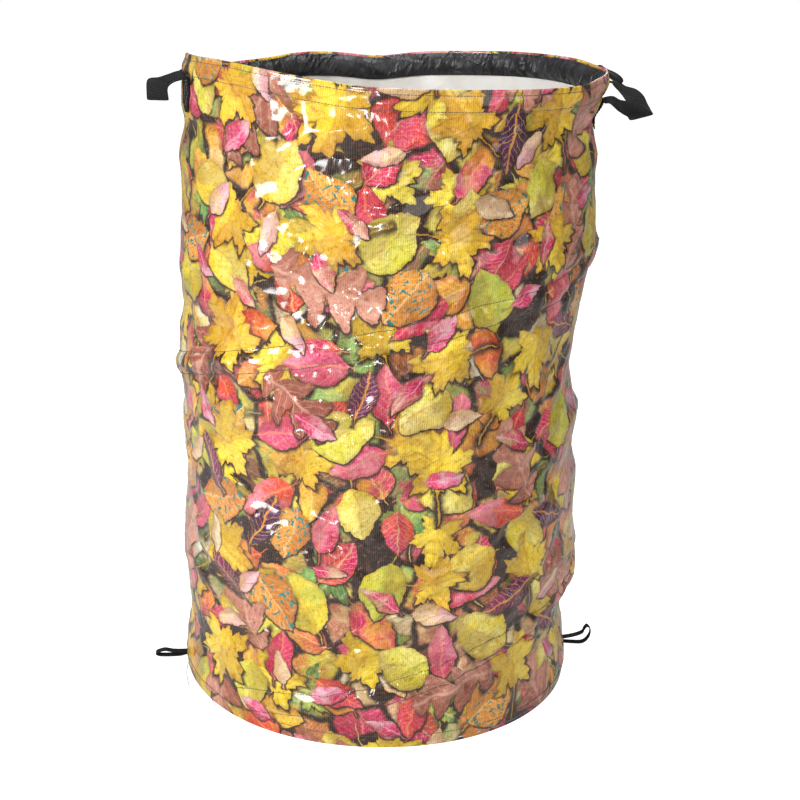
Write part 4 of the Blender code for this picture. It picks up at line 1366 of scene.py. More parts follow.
@dataclass
class BagWall:
    """Printed wall of the bag with its white inner side and the lap that closes it at the back."""

    cloth: Cloth
    finishes: Finishes
    seam_width: float = 0.0120
    seam_lap: float = 0.0009

    def build(self) -> list[bpy.types.Object]:
        """Make the wall and its back seam and return them."""
        wall = attach(self._tube(), "base", "leaf_print", "wall_panel")
        press_flat(wall)
        seam = attach(self._seam(), "base", "leaf_print", "back_seam")
        press_flat(seam)
        return [wall, seam]

    def _tube(self) -> bpy.types.Object:
        """Return the wall: a fine outer side and a coarser inner side, joined at both edges."""
        cloth = self.cloth
        turn, rise = np.meshgrid(cloth.azimuths, cloth.heights, indexing="ij")
        outer = cloth.points(turn, rise, 0.0)
        turn_in, rise_in = np.meshgrid(cloth.azimuths[::2], cloth.heights[::2], indexing="ij")
        back = cloth.slack[::2, ::2] + cloth.sizes.fabric
        inner = cloth.points(turn_in, rise_in, -back)
        columns, rows = cloth.columns, cloth.rows
        base = outer.shape[0] * outer.shape[1]
        high, low = rows + 1, rows // 2 + 1
        faces: list[tuple[int, ...]] = []
        marks: list[tuple[tuple[float, float], ...]] = []
        slots: list[int] = []
        flat = cloth.unrolled(closed_turn(cloth.azimuths)[:, None], cloth.heights[None, :])
        for i in range(columns):
            n = (i + 1) % columns
            for j in range(rows):
                faces.append((i * high + j, n * high + j, n * high + j + 1, i * high + j + 1))
                marks.append((flat[i, j], flat[i + 1, j], flat[i + 1, j + 1], flat[i, j + 1]))
                slots.append(0)
        for i in range(columns // 2):
            n = (i + 1) % (columns // 2)
            for j in range(rows // 2):
                a, b = base + i * low + j, base + n * low + j
                faces.append((a, a + 1, b + 1, b))
                marks.append((flat[2 * i, 2 * j], flat[2 * i, 2 * j + 2], flat[2 * i + 2, 2 * j + 2],
                              flat[2 * i + 2, 2 * j]))
                slots.append(1)
            for j, k, turned in ((0, 0, False), (rows, rows // 2, True)):
                first, second, third = ((2 * i + s) % columns * high + j for s in range(3))
                a, b = base + i * low + k, base + n * low + k
                for face in ((first, a, second), (second, b, third), (second, a, b)):
                    faces.append(face[::-1] if turned else face)
                    marks.append((flat[2 * i, j],) * 3)
                    slots.append(1)
        places = np.concatenate([outer.reshape(-1, 3), inner.reshape(-1, 3)])
        corners = np.array([mark for face in marks for mark in face])
        return new_piece(
            "bag_wall", places, faces, [self.finishes.print, self.finishes.lining], corners, slots,
            mend=False, flat_angle=75.0,
        )

    def _seam(self) -> bpy.types.Object:
        """Return the narrow lap of cloth that closes the wall at the back."""
        cloth, sizes = self.cloth, self.cloth.sizes
        half = math.degrees(self.seam_width / 2 / sizes.radius)
        turns = sizes.seam_azimuth + np.linspace(-half, half, 9)
        heights = np.linspace(sizes.gap, sizes.hem_foot - sizes.gap, 150)
        grid = cloth.points(turns[None, :], heights[:, None], self.seam_lap)
        return ribbon("wall_back_seam", grid, sizes.fabric, self.finishes.print)


@dataclass
class RimHem:
    """Folded printed hem over the edge of the wall, the black facing inside it and the hoop."""

    cloth: Cloth
    finishes: Finishes
    upper_row: float = 0.0056
    lower_row: float = 0.0210
    puff: float = 0.0012
    facing_top: float = 0.7056
    facing_foot: float = 0.6790
    facing_cloth: float = 0.0008
    hoop_height: float = 0.69235
    lip_inset: float = 0.0025
    bared_middle: float = 328.0
    bared_half: float = 30.0

    def proud(self, azimuth: np.ndarray, height: np.ndarray) -> np.ndarray:
        """Return how far the hem's outer face stands off the wall.

        Args:
            azimuth: Azimuths in degrees.
            height: Heights on the level cloth in metres.

        Returns:
            Distances in metres: puffed between the two rows of stitching and drawn in at them.
        """
        sizes = self.cloth.sizes
        upper, lower = sizes.height - self.upper_row, sizes.height - self.lower_row
        middle, half = (upper + lower) / 2, (upper - lower) / 2
        places = drum(azimuth, height)
        crown = np.clip(1 - ((places[..., 2] - middle) / half) ** 2, 0, 1)
        gather = noise_field(places, (0.011, 0.011, 0.020), 31.0)
        fold = noise_field(places, (0.034, 0.034, 0.012), 37.0)
        return sizes.gap + sizes.fabric + 0.0002 + crown * (self.puff * (1 + 1.1 * gather) + 0.0008 * fold)

    def build(self) -> list[bpy.types.Object]:
        """Make the hem, facing, hoop and clip and return them."""
        pieces = (
            (self._hem(), "leaf_print", "top_hem"),
            (self._facing(), "black_tape", "rim_sleeve"),
            (self._hoop(), "spring_steel", "rim_hoop_wire"),
            (self._clip(), "spring_steel", "rim_wire_clip"),
        )
        return [attach(piece, "rim", slot, node) for piece, slot, node in pieces]

    def _hem(self) -> bpy.types.Object:
        """Return the folded hem."""
        cloth, sizes = self.cloth, self.cloth.sizes
        turns, top = cloth.azimuths, sizes.height
        rise = np.linspace(sizes.hem_foot, top - 0.0020, 12)
        wobble = self.proud(turns, top - 0.002)
        outside = [(height, self.proud(turns, height), 0.0) for height in rise]
        crest = [
            (top - drop, wobble * share, 0.0009)
            for share, drop in ((0.85, 0.0008), (0.45, 0.0001), (-0.10, 0.0), (-0.8, 0.0001), (-1.4, 0.0008))
        ]
        lip = [(top - drop, -self.lip_inset, 0.0014) for drop in (0.0022, 0.0036, sizes.hem_lip)]
        inside = [
            (top - drop, off, 0.001)
            for drop, off in (
                (sizes.hem_lip, -0.0014), (0.0012, -0.0014), (0.0012, sizes.gap), (0.004, sizes.gap),
                (sizes.hem_depth, sizes.gap),
            )
        ]
        profile = outside + crest + lip + inside
        sections = np.stack([cloth.points(turns, height, off) for height, off, _ in profile], axis=1)
        marks = [*rise, *(rise[-1] + np.cumsum([step for _, _, step in profile[len(rise):]])), rise[0]]
        uv = cloth.unrolled(closed_turn(turns)[:, None], np.array(marks)[None, :])
        bared = np.zeros(sections.shape[:2], int)
        fade = noise_field(sections[:, 0], (0.030, 0.030, 0.030), 43.0)
        near = np.abs((turns - self.bared_middle + 180) % 360 - 180) < self.bared_half
        bared[near & (fade > -0.2), len(rise) + 2] = 1
        return loft(
            "hem_band", sections, [self.finishes.print, self.finishes.lining], around=True, uv=uv,
            flat_angle=80.0, slots=bared,
        )

    def _facing(self) -> bpy.types.Object:
        """Return the black facing, loose over the hoop, with its upright wrinkles."""
        cloth = self.cloth
        turns = cloth.azimuths
        rise = np.linspace(self.facing_top, self.facing_foot, 15)
        middle, half = (self.facing_top + self.facing_foot) / 2, 0.0120
        outer, inner = [], []
        for height in rise:
            crown = max(0.0, 1 - abs((height - middle) / half) ** 3)
            places = drum(turns, height)
            leaned = places + np.array([0, 0, 0.5]) * places[:, :1]
            wrinkle = np.abs(noise_field(leaned, (0.017, 0.017, 0.040), 43.0))
            slack = np.abs(noise_field(leaned, (0.050, 0.050, 0.080), 47.0))
            wall = cloth.read(cloth.grid, turns, np.full(turns.shape, height))
            inset = 0.0032 + crown * 0.0036 + crown * (0.0058 * wrinkle + 0.0040 * slack)
            inset = np.maximum(inset + wall - calmed(wall, 18, 9.0, around=True), 0.0030)
            outer.append(cloth.points(turns, height, -inset))
            inner.insert(0, cloth.points(turns, height, -inset - self.facing_cloth))
        sections = np.stack(outer + inner, axis=1)
        marks = np.concatenate([rise, rise[::-1], rise[:1]])
        uv = cloth.unrolled(closed_turn(turns)[:, None], marks[None, :])
        return loft("rim_facing", sections, [self.finishes.facing], around=True, uv=uv, flat_angle=70.0)

    def _hoop(self) -> bpy.types.Object:
        """Return the wire hoop inside the facing."""
        turns = self.cloth.azimuths[::3]
        path = self.cloth.points(turns, self.hoop_height, -self.cloth.sizes.wire_inset)
        return tube("rim_hoop", path, self.cloth.sizes.wire_diameter / 2, self.finishes.steel, closed=True)

    def _clip(self) -> bpy.types.Object:
        """Return the bent clip that holds the end of the spiral to the hoop."""
        cloth = self.cloth
        profile = (
            (-0.0054, 0.6864), (-0.0020, 0.6864), (-0.0020, 0.6872), (-0.0046, 0.6872),
            (-0.0046, 0.6942), (-0.0020, 0.6942), (-0.0020, 0.6950), (-0.0054, 0.6950),
        )
        turns = np.linspace(870, 876, 5) % 360
        sections = np.stack([cloth.points(turns, height, off) for off, height in profile], axis=1)
        return loft("rim_clip", sections, [self.finishes.steel], around=False)


@dataclass
class SpringSpiral:
    """Spiral wire and the sewn sleeve that holds it on the inside of the wall."""

    cloth: Cloth
    finishes: Finishes
    tape: float = 0.0008
    arch: float = 0.0043

    def build(self) -> list[bpy.types.Object]:
        """Make the wire and its sleeve and return them."""
        wire = attach(self._wire(), "base", "spring_steel", "spiral_wire")
        sleeve = attach(self._sleeve(), "base", "black_tape", "spiral_sleeve")
        for piece in (wire, sleeve):
            press_flat(piece)
        return [wire, sleeve]

    def _wire(self) -> bpy.types.Object:
        """Return the spring wire from hoop to hoop."""
        route, sizes = self.cloth.route, self.cloth.sizes
        turns = np.linspace(*route.ends, 350)
        inset = self._ease(turns) + sizes.wire_inset + self.tape
        path = self.cloth.points(turns, route.heights(turns), -inset)
        return tube("spiral_spring", path, sizes.wire_diameter / 2, self.finishes.steel)

    def _ease(self, turns: np.ndarray) -> np.ndarray:
        """Return how far the lining keeps the wire off the outer cloth, made smooth along the route."""
        slack = self.cloth.read(self.cloth.slack, turns, self.cloth.route.heights(turns))
        return np.convolve(np.pad(slack, 14, mode="edge"), np.ones(29) / 29, "valid")

    def _sleeve(self) -> bpy.types.Object:
        """Return the sewn sleeve over the wire."""
        route, sizes = self.cloth.route, self.cloth.sizes
        turns = np.linspace(route.first, route.last, 520)
        heights = route.heights(turns)
        half = sizes.sleeve_width / 2
        side = [1, 0.86, 0.72, 0.58, 0.46, 0.36, 0.2]
        across = np.array([*side, 0, *(-share for share in side[::-1])])
        shape = self.arch * np.clip((0.66 - np.abs(across)) / 0.30, 0, 1)
        wrinkle = np.abs(noise_field(drum(turns, heights), (0.022, 0.022, 0.022), 53.0))
        rise = heights[:, None] + across[None, :] * half
        slack = self.cloth.read(self.cloth.slack, turns[:, None], rise)
        over_wire = np.where(shape > 0, self._ease(turns)[:, None], 0.0)
        insets = 0.0021 + np.maximum(slack, over_wire) + shape[None, :] * (1 + 0.35 * wrinkle[:, None])
        top = self.cloth.points(turns[:, None], rise, -insets)
        under = self.cloth.points(turns[:, None], rise, -insets - self.tape)
        sections = np.concatenate([top, under[:, ::-1]], axis=1)
        wide = np.concatenate([across * half, across[::-1] * half, across[:1] * half])
        run = np.radians(turns) * sizes.radius
        uv = np.stack(np.meshgrid(run, wide, indexing="ij"), axis=-1)
        return loft("spiral_casing", sections, [self.finishes.tape], around=False, uv=uv, flat_angle=60.0)


@dataclass
class BagBase:
    """Round floor of the bag and the tape that joins it to the wall over the lower hoop."""

    cloth: Cloth
    finishes: Finishes
    floor_radius: float = 0.2262
    floor_thickness: float = 0.0010
    rings: int = 26

    def build(self) -> list[bpy.types.Object]:
        """Make the floor and its tape and return them."""
        floor = attach(self._floor(), "base", "leaf_print", "base_panel")
        return [floor, attach(self._casing(), "base", "black_tape", "base_sleeve")]

    def _floor(self) -> bpy.types.Object:
        """Return the floor: printed below, white above, with low wrinkles inside."""
        turns = np.arange(0, 360, 3.0)
        angle = np.radians(turns)
        shares = np.linspace(0, 1, self.rings + 1)[1:]
        rim_share = 0.97
        places, faces, slots = [], [], []
        count, rings = len(turns), self.rings
        for side in (0, 1):
            for share in shares:
                reach = self.floor_radius * share
                ring = np.stack([reach * np.cos(angle), reach * np.sin(angle), np.zeros(count)], axis=-1)
                if side:
                    wrinkle = 0.0012 * np.abs(noise_field(ring, (0.05, 0.05, 0.05), 61.0))
                    ring[:, 2] = self.floor_thickness + (wrinkle if share <= rim_share else 0.0)
                places.append(ring)
        places.append(np.array([[0, 0, 0.0], [0, 0, self.floor_thickness]]))
        flat = np.concatenate(places)
        middle = (2 * rings * count, 2 * rings * count + 1)
        for side in (0, 1):
            start = side * rings * count
            for i in range(count):
                n = (i + 1) % count
                face = (middle[side], start + i, start + n)
                faces.append(face if side else face[::-1])
                slots.append(side)
                for r in range(rings - 1):
                    low, high = start + r * count, start + (r + 1) * count
                    face = (low + i, high + i, high + n, low + n)
                    faces.append(face if side else face[::-1])
                    slots.append(side)
        edge, top = (rings - 1) * count, (2 * rings - 1) * count
        for i in range(count):
            n = (i + 1) % count
            faces.append((edge + i, edge + n, top + n, top + i))
            slots.append(0)
        corners = np.array([flat[v, :2] + 3.0 for face in faces for v in face])
        return new_piece(
            "base_floor", flat, faces, [self.finishes.print, self.finishes.lining], corners, slots
        )

    def _casing(self) -> bpy.types.Object:
        """Return the tape over the lower hoop, from the wall onto the floor."""
        cloth = self.cloth
        turns = cloth.azimuths[::2]
        wrinkle = 0.0012 * np.abs(noise_field(drum(turns, 0.0), (0.018, 0.018, 0.018), 67.0))
        profile = (
            (0.0014, 0.0165, 0), (0.0016, 0.0140, 0), (0.0040, 0.0118, 1), (0.0058, 0.0098, 1),
            (0.0060, 0.0060, 1), (0.0062, 0.0034, 1), (0.0075, 0.0026, 0), (0.0115, 0.0023, 0),
            (0.0158, 0.0022, 0), (0.0158, 0.0030, 0), (0.0115, 0.0032, 0), (0.0078, 0.0035, 0),
            (0.0070, 0.0045, 1), (0.0068, 0.0070, 1), (0.0066, 0.0102, 1), (0.0046, 0.0126, 1),
            (0.0024, 0.0148, 0), (0.0022, 0.0165, 0),
        )
        columns = [cloth.points(turns, height, -inset - loose * wrinkle) for inset, height, loose in profile]
        sections = np.stack(columns, axis=1)
        marks = np.linspace(0, 0.05, len(profile) + 1)
        uv = cloth.unrolled(closed_turn(turns)[:, None], marks[None, :])
        return loft("base_casing", sections, [self.finishes.tape], around=True, uv=uv, flat_angle=60.0)


StrapEdges = tuple[tuple[float, ...], ...]
RIGHT_STRAP: StrapEdges = (
    (0.2178, -0.0550, 0.6768, 0.2243, -0.0313, 0.6812),
    (0.2232, -0.0537, 0.6768, 0.2302, -0.0302, 0.6823),
    (0.2290, -0.0501, 0.6731, 0.2356, -0.0274, 0.6815),
    (0.2354, -0.0446, 0.6686, 0.2435, -0.0227, 0.6778),
    (0.2442, -0.0366, 0.6638, 0.2547, -0.0173, 0.6755),
    (0.2528, -0.0278, 0.6595, 0.2696, -0.0133, 0.6707),
    (0.2609, -0.0104, 0.6544, 0.2857, -0.0139, 0.6625),
    (0.2650, 0.0022, 0.6566, 0.2889, 0.0047, 0.6636),
    (0.2643, 0.0109, 0.6666, 0.2879, 0.0185, 0.6698),
    (0.2601, 0.0195, 0.6756, 0.2842, 0.0252, 0.6784),
    (0.2544, 0.0245, 0.6827, 0.2774, 0.0340, 0.6844),
    (0.2494, 0.0271, 0.6876, 0.2682, 0.0436, 0.6865),
    (0.2456, 0.0292, 0.6913, 0.2591, 0.0503, 0.6907),
    (0.2335, 0.0305, 0.6895, 0.2350, 0.0550, 0.6890),
)
LEFT_STRAP: StrapEdges = (
    (-0.2307, -0.0315, 0.6954, -0.2324, -0.0559, 0.6907),
    (-0.2377, -0.0306, 0.6952, -0.2386, -0.0549, 0.6894),
    (-0.2430, -0.0290, 0.6934, -0.2425, -0.0533, 0.6873),
    (-0.2505, -0.0266, 0.6903, -0.2476, -0.0508, 0.6850),
    (-0.2584, -0.0238, 0.6874, -0.2486, -0.0463, 0.6835),
    (-0.2674, -0.0206, 0.6859, -0.2488, -0.0361, 0.6799),
    (-0.2705, -0.0197, 0.6818, -0.2485, -0.0285, 0.6740),
    (-0.2709, -0.0156, 0.6720, -0.2479, -0.0246, 0.6684),
    (-0.2707, -0.0094, 0.6627, -0.2475, -0.0187, 0.6636),
    (-0.2707, 0.0056, 0.6640, -0.2483, -0.0054, 0.6647),
    (-0.2696, 0.0195, 0.6694, -0.2494, 0.0050, 0.6684),
    (-0.2636, 0.0320, 0.6758, -0.2491, 0.0118, 0.6735),
    (-0.2531, 0.0429, 0.6794, -0.2460, 0.0191, 0.6765),
    (-0.2446, 0.0513, 0.6826, -0.2408, 0.0270, 0.6786),
    (-0.2365, 0.0570, 0.6828, -0.2350, 0.0325, 0.6798),
)
LoopKnots = tuple[tuple[float, float], ...]
RIGHT_LOOP: LoopKnots = (
    (0.0, 0.0030), (0.0054, 0.0045), (0.0124, 0.0056), (0.0212, 0.0076), (0.0288, 0.0109), (0.0309, 0.0157),
    (0.0344, 0.0196), (0.0387, 0.0149), (0.0381, 0.0065), (0.0335, -0.0004), (0.0273, -0.0030),
    (0.0168, -0.0026), (0.0078, -0.0018), (0.0, -0.0010),
)
LEFT_LOOP: LoopKnots = (
    (0.0, 0.0012), (0.0065, 0.0010), (0.0161, 0.0016), (0.0256, 0.0034), (0.0333, 0.0014), (0.0363, -0.0010),
    (0.0329, -0.0030), (0.0257, -0.0037), (0.0162, -0.0037), (0.0067, -0.0032), (0.0, -0.0014),
)


@dataclass
class StrapHandle:
    """Handle of black webbing: two ends sewn on the wall under the hem and the free strap.

    Its edges are places of one edge and then of the other, from the front leg to the rear leg.
    """

    cloth: Cloth
    finishes: Finishes
    side: Side
    edges: StrapEdges
    width: float = 0.0250
    thickness: float = 0.0015
    spacing: float = 0.0880
    end_top: float = 0.6812
    end_length: float = 0.0320
    axis_height: float = 0.68045
    lift: float = 0.0
    turn: float = 0.0
    stations: int = 90
    columns: int = 11
    bend: tuple[float, float] = (0.2300, 0.2400)

    def leg_azimuth(self, leg: int) -> float:
        """Return the azimuth of one leg's middle line in degrees."""
        half = math.degrees(math.asin(self.spacing / 2 / self.cloth.sizes.radius)) * leg
        return self.side.azimuth + self.turn + half

    def build(self) -> bpy.types.Object:
        """Make the webbing in one run and return it."""
        word = self.side.word
        front, rear = self._sewn(-self.side.value), self._sewn(self.side.value)
        grid = np.concatenate([front, self._free(front[-1], rear[-1]), rear[::-1]])
        strap = ribbon(f"{word}_handle_webbing", grid, self.thickness, self.finishes.webbing)
        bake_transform(strap)
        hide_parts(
            f"{word}_handle_strap", f"{word}_handle_front_end", f"{word}_handle_rear_end"
        )
        return strap

    def _sewn(self, leg: int) -> np.ndarray:
        """Return the end sewn on the wall at one leg, from its foot up, as a grid of places."""
        spread = np.degrees(np.linspace(-1, 1, self.columns) * self.width / 2 / self.cloth.sizes.radius)
        turns = self.leg_azimuth(leg) + spread
        top = self.end_top + self.lift
        heights = np.linspace(top - self.end_length, top - 0.0015, 14)
        return self.cloth.points(turns[None, :], heights[:, None], 0.0016)

    def _free(self, first: np.ndarray, last: np.ndarray) -> np.ndarray:
        """Return the free strap from the front leg to the rear leg.

        Args:
            first: Places across the top of the front end.
            last: Places across the top of the rear end.

        Returns:
            Places as (station, place across the width, three numbers).
        """
        knots = np.array([(*first[0], *first[-1]), *self.edges, (*last[0], *last[-1])])
        low, high = knots[:, :3], knots[:, 3:]
        line = spline_through(np.hstack([(low + high) / 2, high - low]), self.stations)[1:-1]
        share = np.linspace(-0.5, 0.5, self.columns)
        across = line[:, 3:] * (self.width / np.linalg.norm(line[:, 3:], axis=1, keepdims=True))
        return line[:, None, :3] + share[None, :, None] * across[:, None]


@dataclass
class RimToggle:
    """Moulded toggle on its folded tape tab.

    The rows of its outline are the share of its length, of its thickness and of its width.
    """

    finishes: Finishes
    side: Side
    droop: float
    axis: tuple[float, float, float]
    length: float = 0.0310
    width: float = 0.0150
    thickness: float = 0.0090
    bar_radius: float = 0.0013
    window: float = 0.0055
    outline: tuple[tuple[float, float, float], ...] = (
        (-0.075, 0.18, 0.90), (-0.060, 0.40, 0.97), (0.0, 0.56, 1.0), (0.12, 0.56, 1.0), (0.22, 0.58, 1.0),
        (0.32, 0.70, 1.0), (0.42, 0.86, 0.97), (0.52, 0.95, 0.945), (0.62, 1.0, 0.90), (0.72, 0.99, 0.83),
        (0.80, 0.94, 0.75), (0.88, 0.82, 0.62), (0.94, 0.64, 0.46), (0.98, 0.42, 0.30), (1.0, 0.16, 0.12),
    )

    def build(self) -> list[bpy.types.Object]:
        """Make the toggle and its tab and return them."""
        word = self.side.word
        toggle = attach(self._toggle(), f"{word}_toggle", "black_plastic", f"{word}_toggle")
        tab = self._tab()
        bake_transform(tab)
        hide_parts(f"{word}_toggle_tab")
        return [toggle, tab]

    def _frame(self, droop: float) -> Matrix:
        """Return the turn and place of the toggle's axis on its side of the bag."""
        return (
            Matrix.Translation(self.axis)
            @ Matrix.Rotation(math.radians(self.side.azimuth), 4, "Z")
            @ Matrix.Rotation(math.radians(droop), 4, "Y")
        )

    def _toggle(self) -> bpy.types.Object:
        """Return the moulded body with its window and bar."""
        angle = np.linspace(0, math.tau, 28, endpoint=False)
        round_y, round_z = (np.sign(wave) * np.abs(wave) ** 0.62 for wave in (np.cos(angle), np.sin(angle)))
        sections = [
            np.stack([
                np.full(angle.shape, run * self.length), round_y * wide * self.width / 2,
                round_z * thick * self.thickness / 2,
            ], axis=-1)
            for run, thick, wide in self.outline
        ]
        name = f"{self.side.word}_toggle_body"
        body = loft(name, np.array(sections), [self.finishes.plastic], around=False, flat_angle=50.0)
        arm = self.width / 2 - 0.0020
        form = bmesh.new()
        bmesh.ops.create_cube(form, size=1.0)
        stretch = Matrix.Diagonal((2 * self.window, 2 * arm, 3 * self.thickness, 1.0))
        bmesh.ops.transform(form, matrix=stretch, verts=form.verts)
        cut_mesh = bpy.data.meshes.new("window_cut")
        form.to_mesh(cut_mesh)
        form.clear()
        bmesh.ops.create_cone(
            form, cap_ends=True, segments=16, radius1=self.bar_radius, radius2=self.bar_radius,
            depth=2 * arm + 0.001, matrix=Matrix.Rotation(math.pi / 2, 4, "X"),
        )
        bar_mesh = bpy.data.meshes.new("window_bar")
        form.to_mesh(bar_mesh)
        form.free()
        tools = [bpy.data.objects.new(mesh.name, mesh) for mesh in (cut_mesh, bar_mesh)]
        for tool, operation in zip(tools, ("DIFFERENCE", "UNION")):
            bpy.context.scene.collection.objects.link(tool)
            change = body.modifiers.new(operation.lower(), "BOOLEAN")
            change.operation = operation
            change.solver = "EXACT"
            change.object = tool
        settle(body)
        for tool in tools:
            bpy.data.objects.remove(tool, do_unlink=True)
        body.data.transform(self._frame(self.droop))
        body.data.materials.clear()
        body.data.materials.append(self.finishes.plastic)
        return body

    def _tab(self) -> bpy.types.Object:
        """Return the tape folded round the bar, with its tail on the hem."""
        fold = 0.0022
        angles = np.radians(np.linspace(-100, 180, 20))
        path = [(-0.0016, -0.0150), (-0.0016, -0.0120), (-0.0014, -0.0060), (-0.0010, -0.0030)]
        path += [(fold * math.cos(angle), fold * math.sin(angle)) for angle in angles]
        path += [(-0.0024, -0.0030), (-0.0028, -0.0060), (-0.0030, -0.0120), (-0.0030, -0.0148)]
        line = spline_through([(x, 0.0, z) for x, z in path], 60)
        wide = np.linspace(-0.005, 0.005, 7)
        grid = line[:, None] + np.array([0.0, 1.0, 0.0]) * wide[None, :, None]
        tab = ribbon(f"{self.side.word}_toggle_tape", grid, 0.0009, self.finishes.tape)
        tab.data.transform(self._frame(0.0))
        return tab


@dataclass
class BaseLoop:
    """Flat elastic doubled into a loop and sewn in at the base seam."""

    finishes: Finishes
    side: Side
    knots: LoopKnots
    shift: float = 0.0
    root: float = 0.0040
    tilt: float = 0.30
    width: float = 0.0065
    thickness: float = 0.0012
    axis_radius: float = 0.2317
    axis_height: float = 0.0057

    def build(self) -> bpy.types.Object:
        """Make the loop and return it."""
        knots = ((-self.root, self.knots[0][1]), *self.knots, (-self.root, self.knots[-1][1]))
        line = spline_through([(x, 0.0, z) for x, z in knots], 72)
        wide = np.linspace(-1, 1, 7) * self.width / 2
        sign = self.side.value
        across = np.array([0.0, math.cos(self.tilt), sign * math.sin(self.tilt)])
        grid = line[:, None] + across * wide[None, :, None] + np.array([0.0, sign * self.shift, 0.0])
        grid = grid * np.array([sign, sign, 1.0]) + np.array([sign * self.axis_radius, 0.0, self.axis_height])
        word = self.side.word
        loop = ribbon(f"{word}_elastic_loop", grid, self.thickness, self.finishes.elastic)
        return attach(loop, f"{word}_loop", "black_elastic", f"{word}_base_loop")


def settle(piece: bpy.types.Object) -> None:
    """Turn a piece's modifiers into its plain mesh."""
    graph = bpy.context.evaluated_depsgraph_get()
    graph.update()
    mesh = bpy.data.meshes.new_from_object(piece.evaluated_get(graph), depsgraph=graph)
    piece.modifiers.clear()
    piece.data = mesh


class StitchTree:
    """Geometry Nodes tree that lays stitches along lines."""

    INPUTS = (("Pitch", 0.0034), ("Length", 0.0031), ("Thickness", 0.0008))

    def __init__(self) -> None:
        """Build the tree once."""
        tree = bpy.data.node_groups.new("Sewn stitches", "GeometryNodeTree")
        tree.interface.new_socket("Geometry", in_out="INPUT", socket_type="NodeSocketGeometry")
        for name, value in self.INPUTS:
            socket = tree.interface.new_socket(name, in_out="INPUT", socket_type="NodeSocketFloat")
            socket.default_value = value
        seed = tree.interface.new_socket("Seed", in_out="INPUT", socket_type="NodeSocketInt")
        seed.default_value = 7
        tree.interface.new_socket("Thread", in_out="INPUT", socket_type="NodeSocketMaterial")
        tree.interface.new_socket("Geometry", in_out="OUTPUT", socket_type="NodeSocketGeometry")
        nodes, link = tree.nodes, tree.links.new
        given = nodes.new("NodeGroupInput").outputs
        lines = nodes.new("GeometryNodeMeshToCurve")
        link(given["Geometry"], lines.inputs["Mesh"])
        spots = nodes.new("GeometryNodeCurveToPoints")
        spots.mode = "LENGTH"
        link(lines.outputs["Curve"], spots.inputs["Curve"])
        link(given["Pitch"], spots.inputs["Length"])
        bead = nodes.new("GeometryNodeMeshIcoSphere")
        bead.inputs["Radius"].default_value = 0.5
        bead.inputs["Subdivisions"].default_value = 2
        size = nodes.new("ShaderNodeCombineXYZ")
        link(given["Thickness"], size.inputs["X"])
        link(given["Thickness"], size.inputs["Y"])
        link(given["Length"], size.inputs["Z"])
        shaped = nodes.new("GeometryNodeTransform")
        link(bead.outputs["Mesh"], shaped.inputs["Geometry"])
        link(size.outputs[0], shaped.inputs["Scale"])
        vary = nodes.new("FunctionNodeRandomValue")
        vary.data_type = "FLOAT"
        vary.inputs[2].default_value = 0.85
        vary.inputs[3].default_value = 1.08
        link(given["Seed"], vary.inputs["Seed"])
        placed = nodes.new("GeometryNodeInstanceOnPoints")
        link(spots.outputs["Points"], placed.inputs["Points"])
        link(shaped.outputs["Geometry"], placed.inputs["Instance"])
        link(spots.outputs["Rotation"], placed.inputs["Rotation"])
        link(vary.outputs[1], placed.inputs["Scale"])
        real = nodes.new("GeometryNodeRealizeInstances")
        link(placed.outputs["Instances"], real.inputs["Geometry"])
        dressed = nodes.new("GeometryNodeSetMaterial")
        link(real.outputs["Geometry"], dressed.inputs["Geometry"])
        link(given["Thread"], dressed.inputs["Material"])
        link(dressed.outputs["Geometry"], nodes.new("NodeGroupOutput").inputs["Geometry"])
        self.tree = tree
        self.sockets = {
            item.name: item.identifier for item in tree.interface.items_tree if item.in_out == "INPUT"
        }

    def sew(
        self, name: str, lines: Iterable[np.ndarray], thread: bpy.types.Material, **sizes: float
    ) -> bpy.types.Object:
        """Lay stitches along lines and return them as one plain mesh.

        Args:
            name: Name of the piece.
            lines: Places of each row of stitching.
            thread: Material of the thread.
            **sizes: Values for the tree's inputs, by name.

        Returns:
            The object.
        """
        points: list[list[float]] = []
        edges: list[tuple[int, int]] = []
        for line in lines:
            start = len(points)
            points.extend(np.asarray(line).tolist())
            edges.extend((start + i, start + i + 1) for i in range(len(line) - 1))
        mesh = bpy.data.meshes.new(name)
        mesh.from_pydata(points, edges, [])
        piece = bpy.data.objects.new(name, mesh)
        bpy.context.scene.collection.objects.link(piece)
        change = piece.modifiers.new("stitches", "NODES")
        change.node_group = self.tree
        change[self.sockets["Thread"]] = thread
        for label, value in sizes.items():
            change[self.sockets[label]] = value
        settle(piece)
        piece.data.shade_smooth()
        return piece


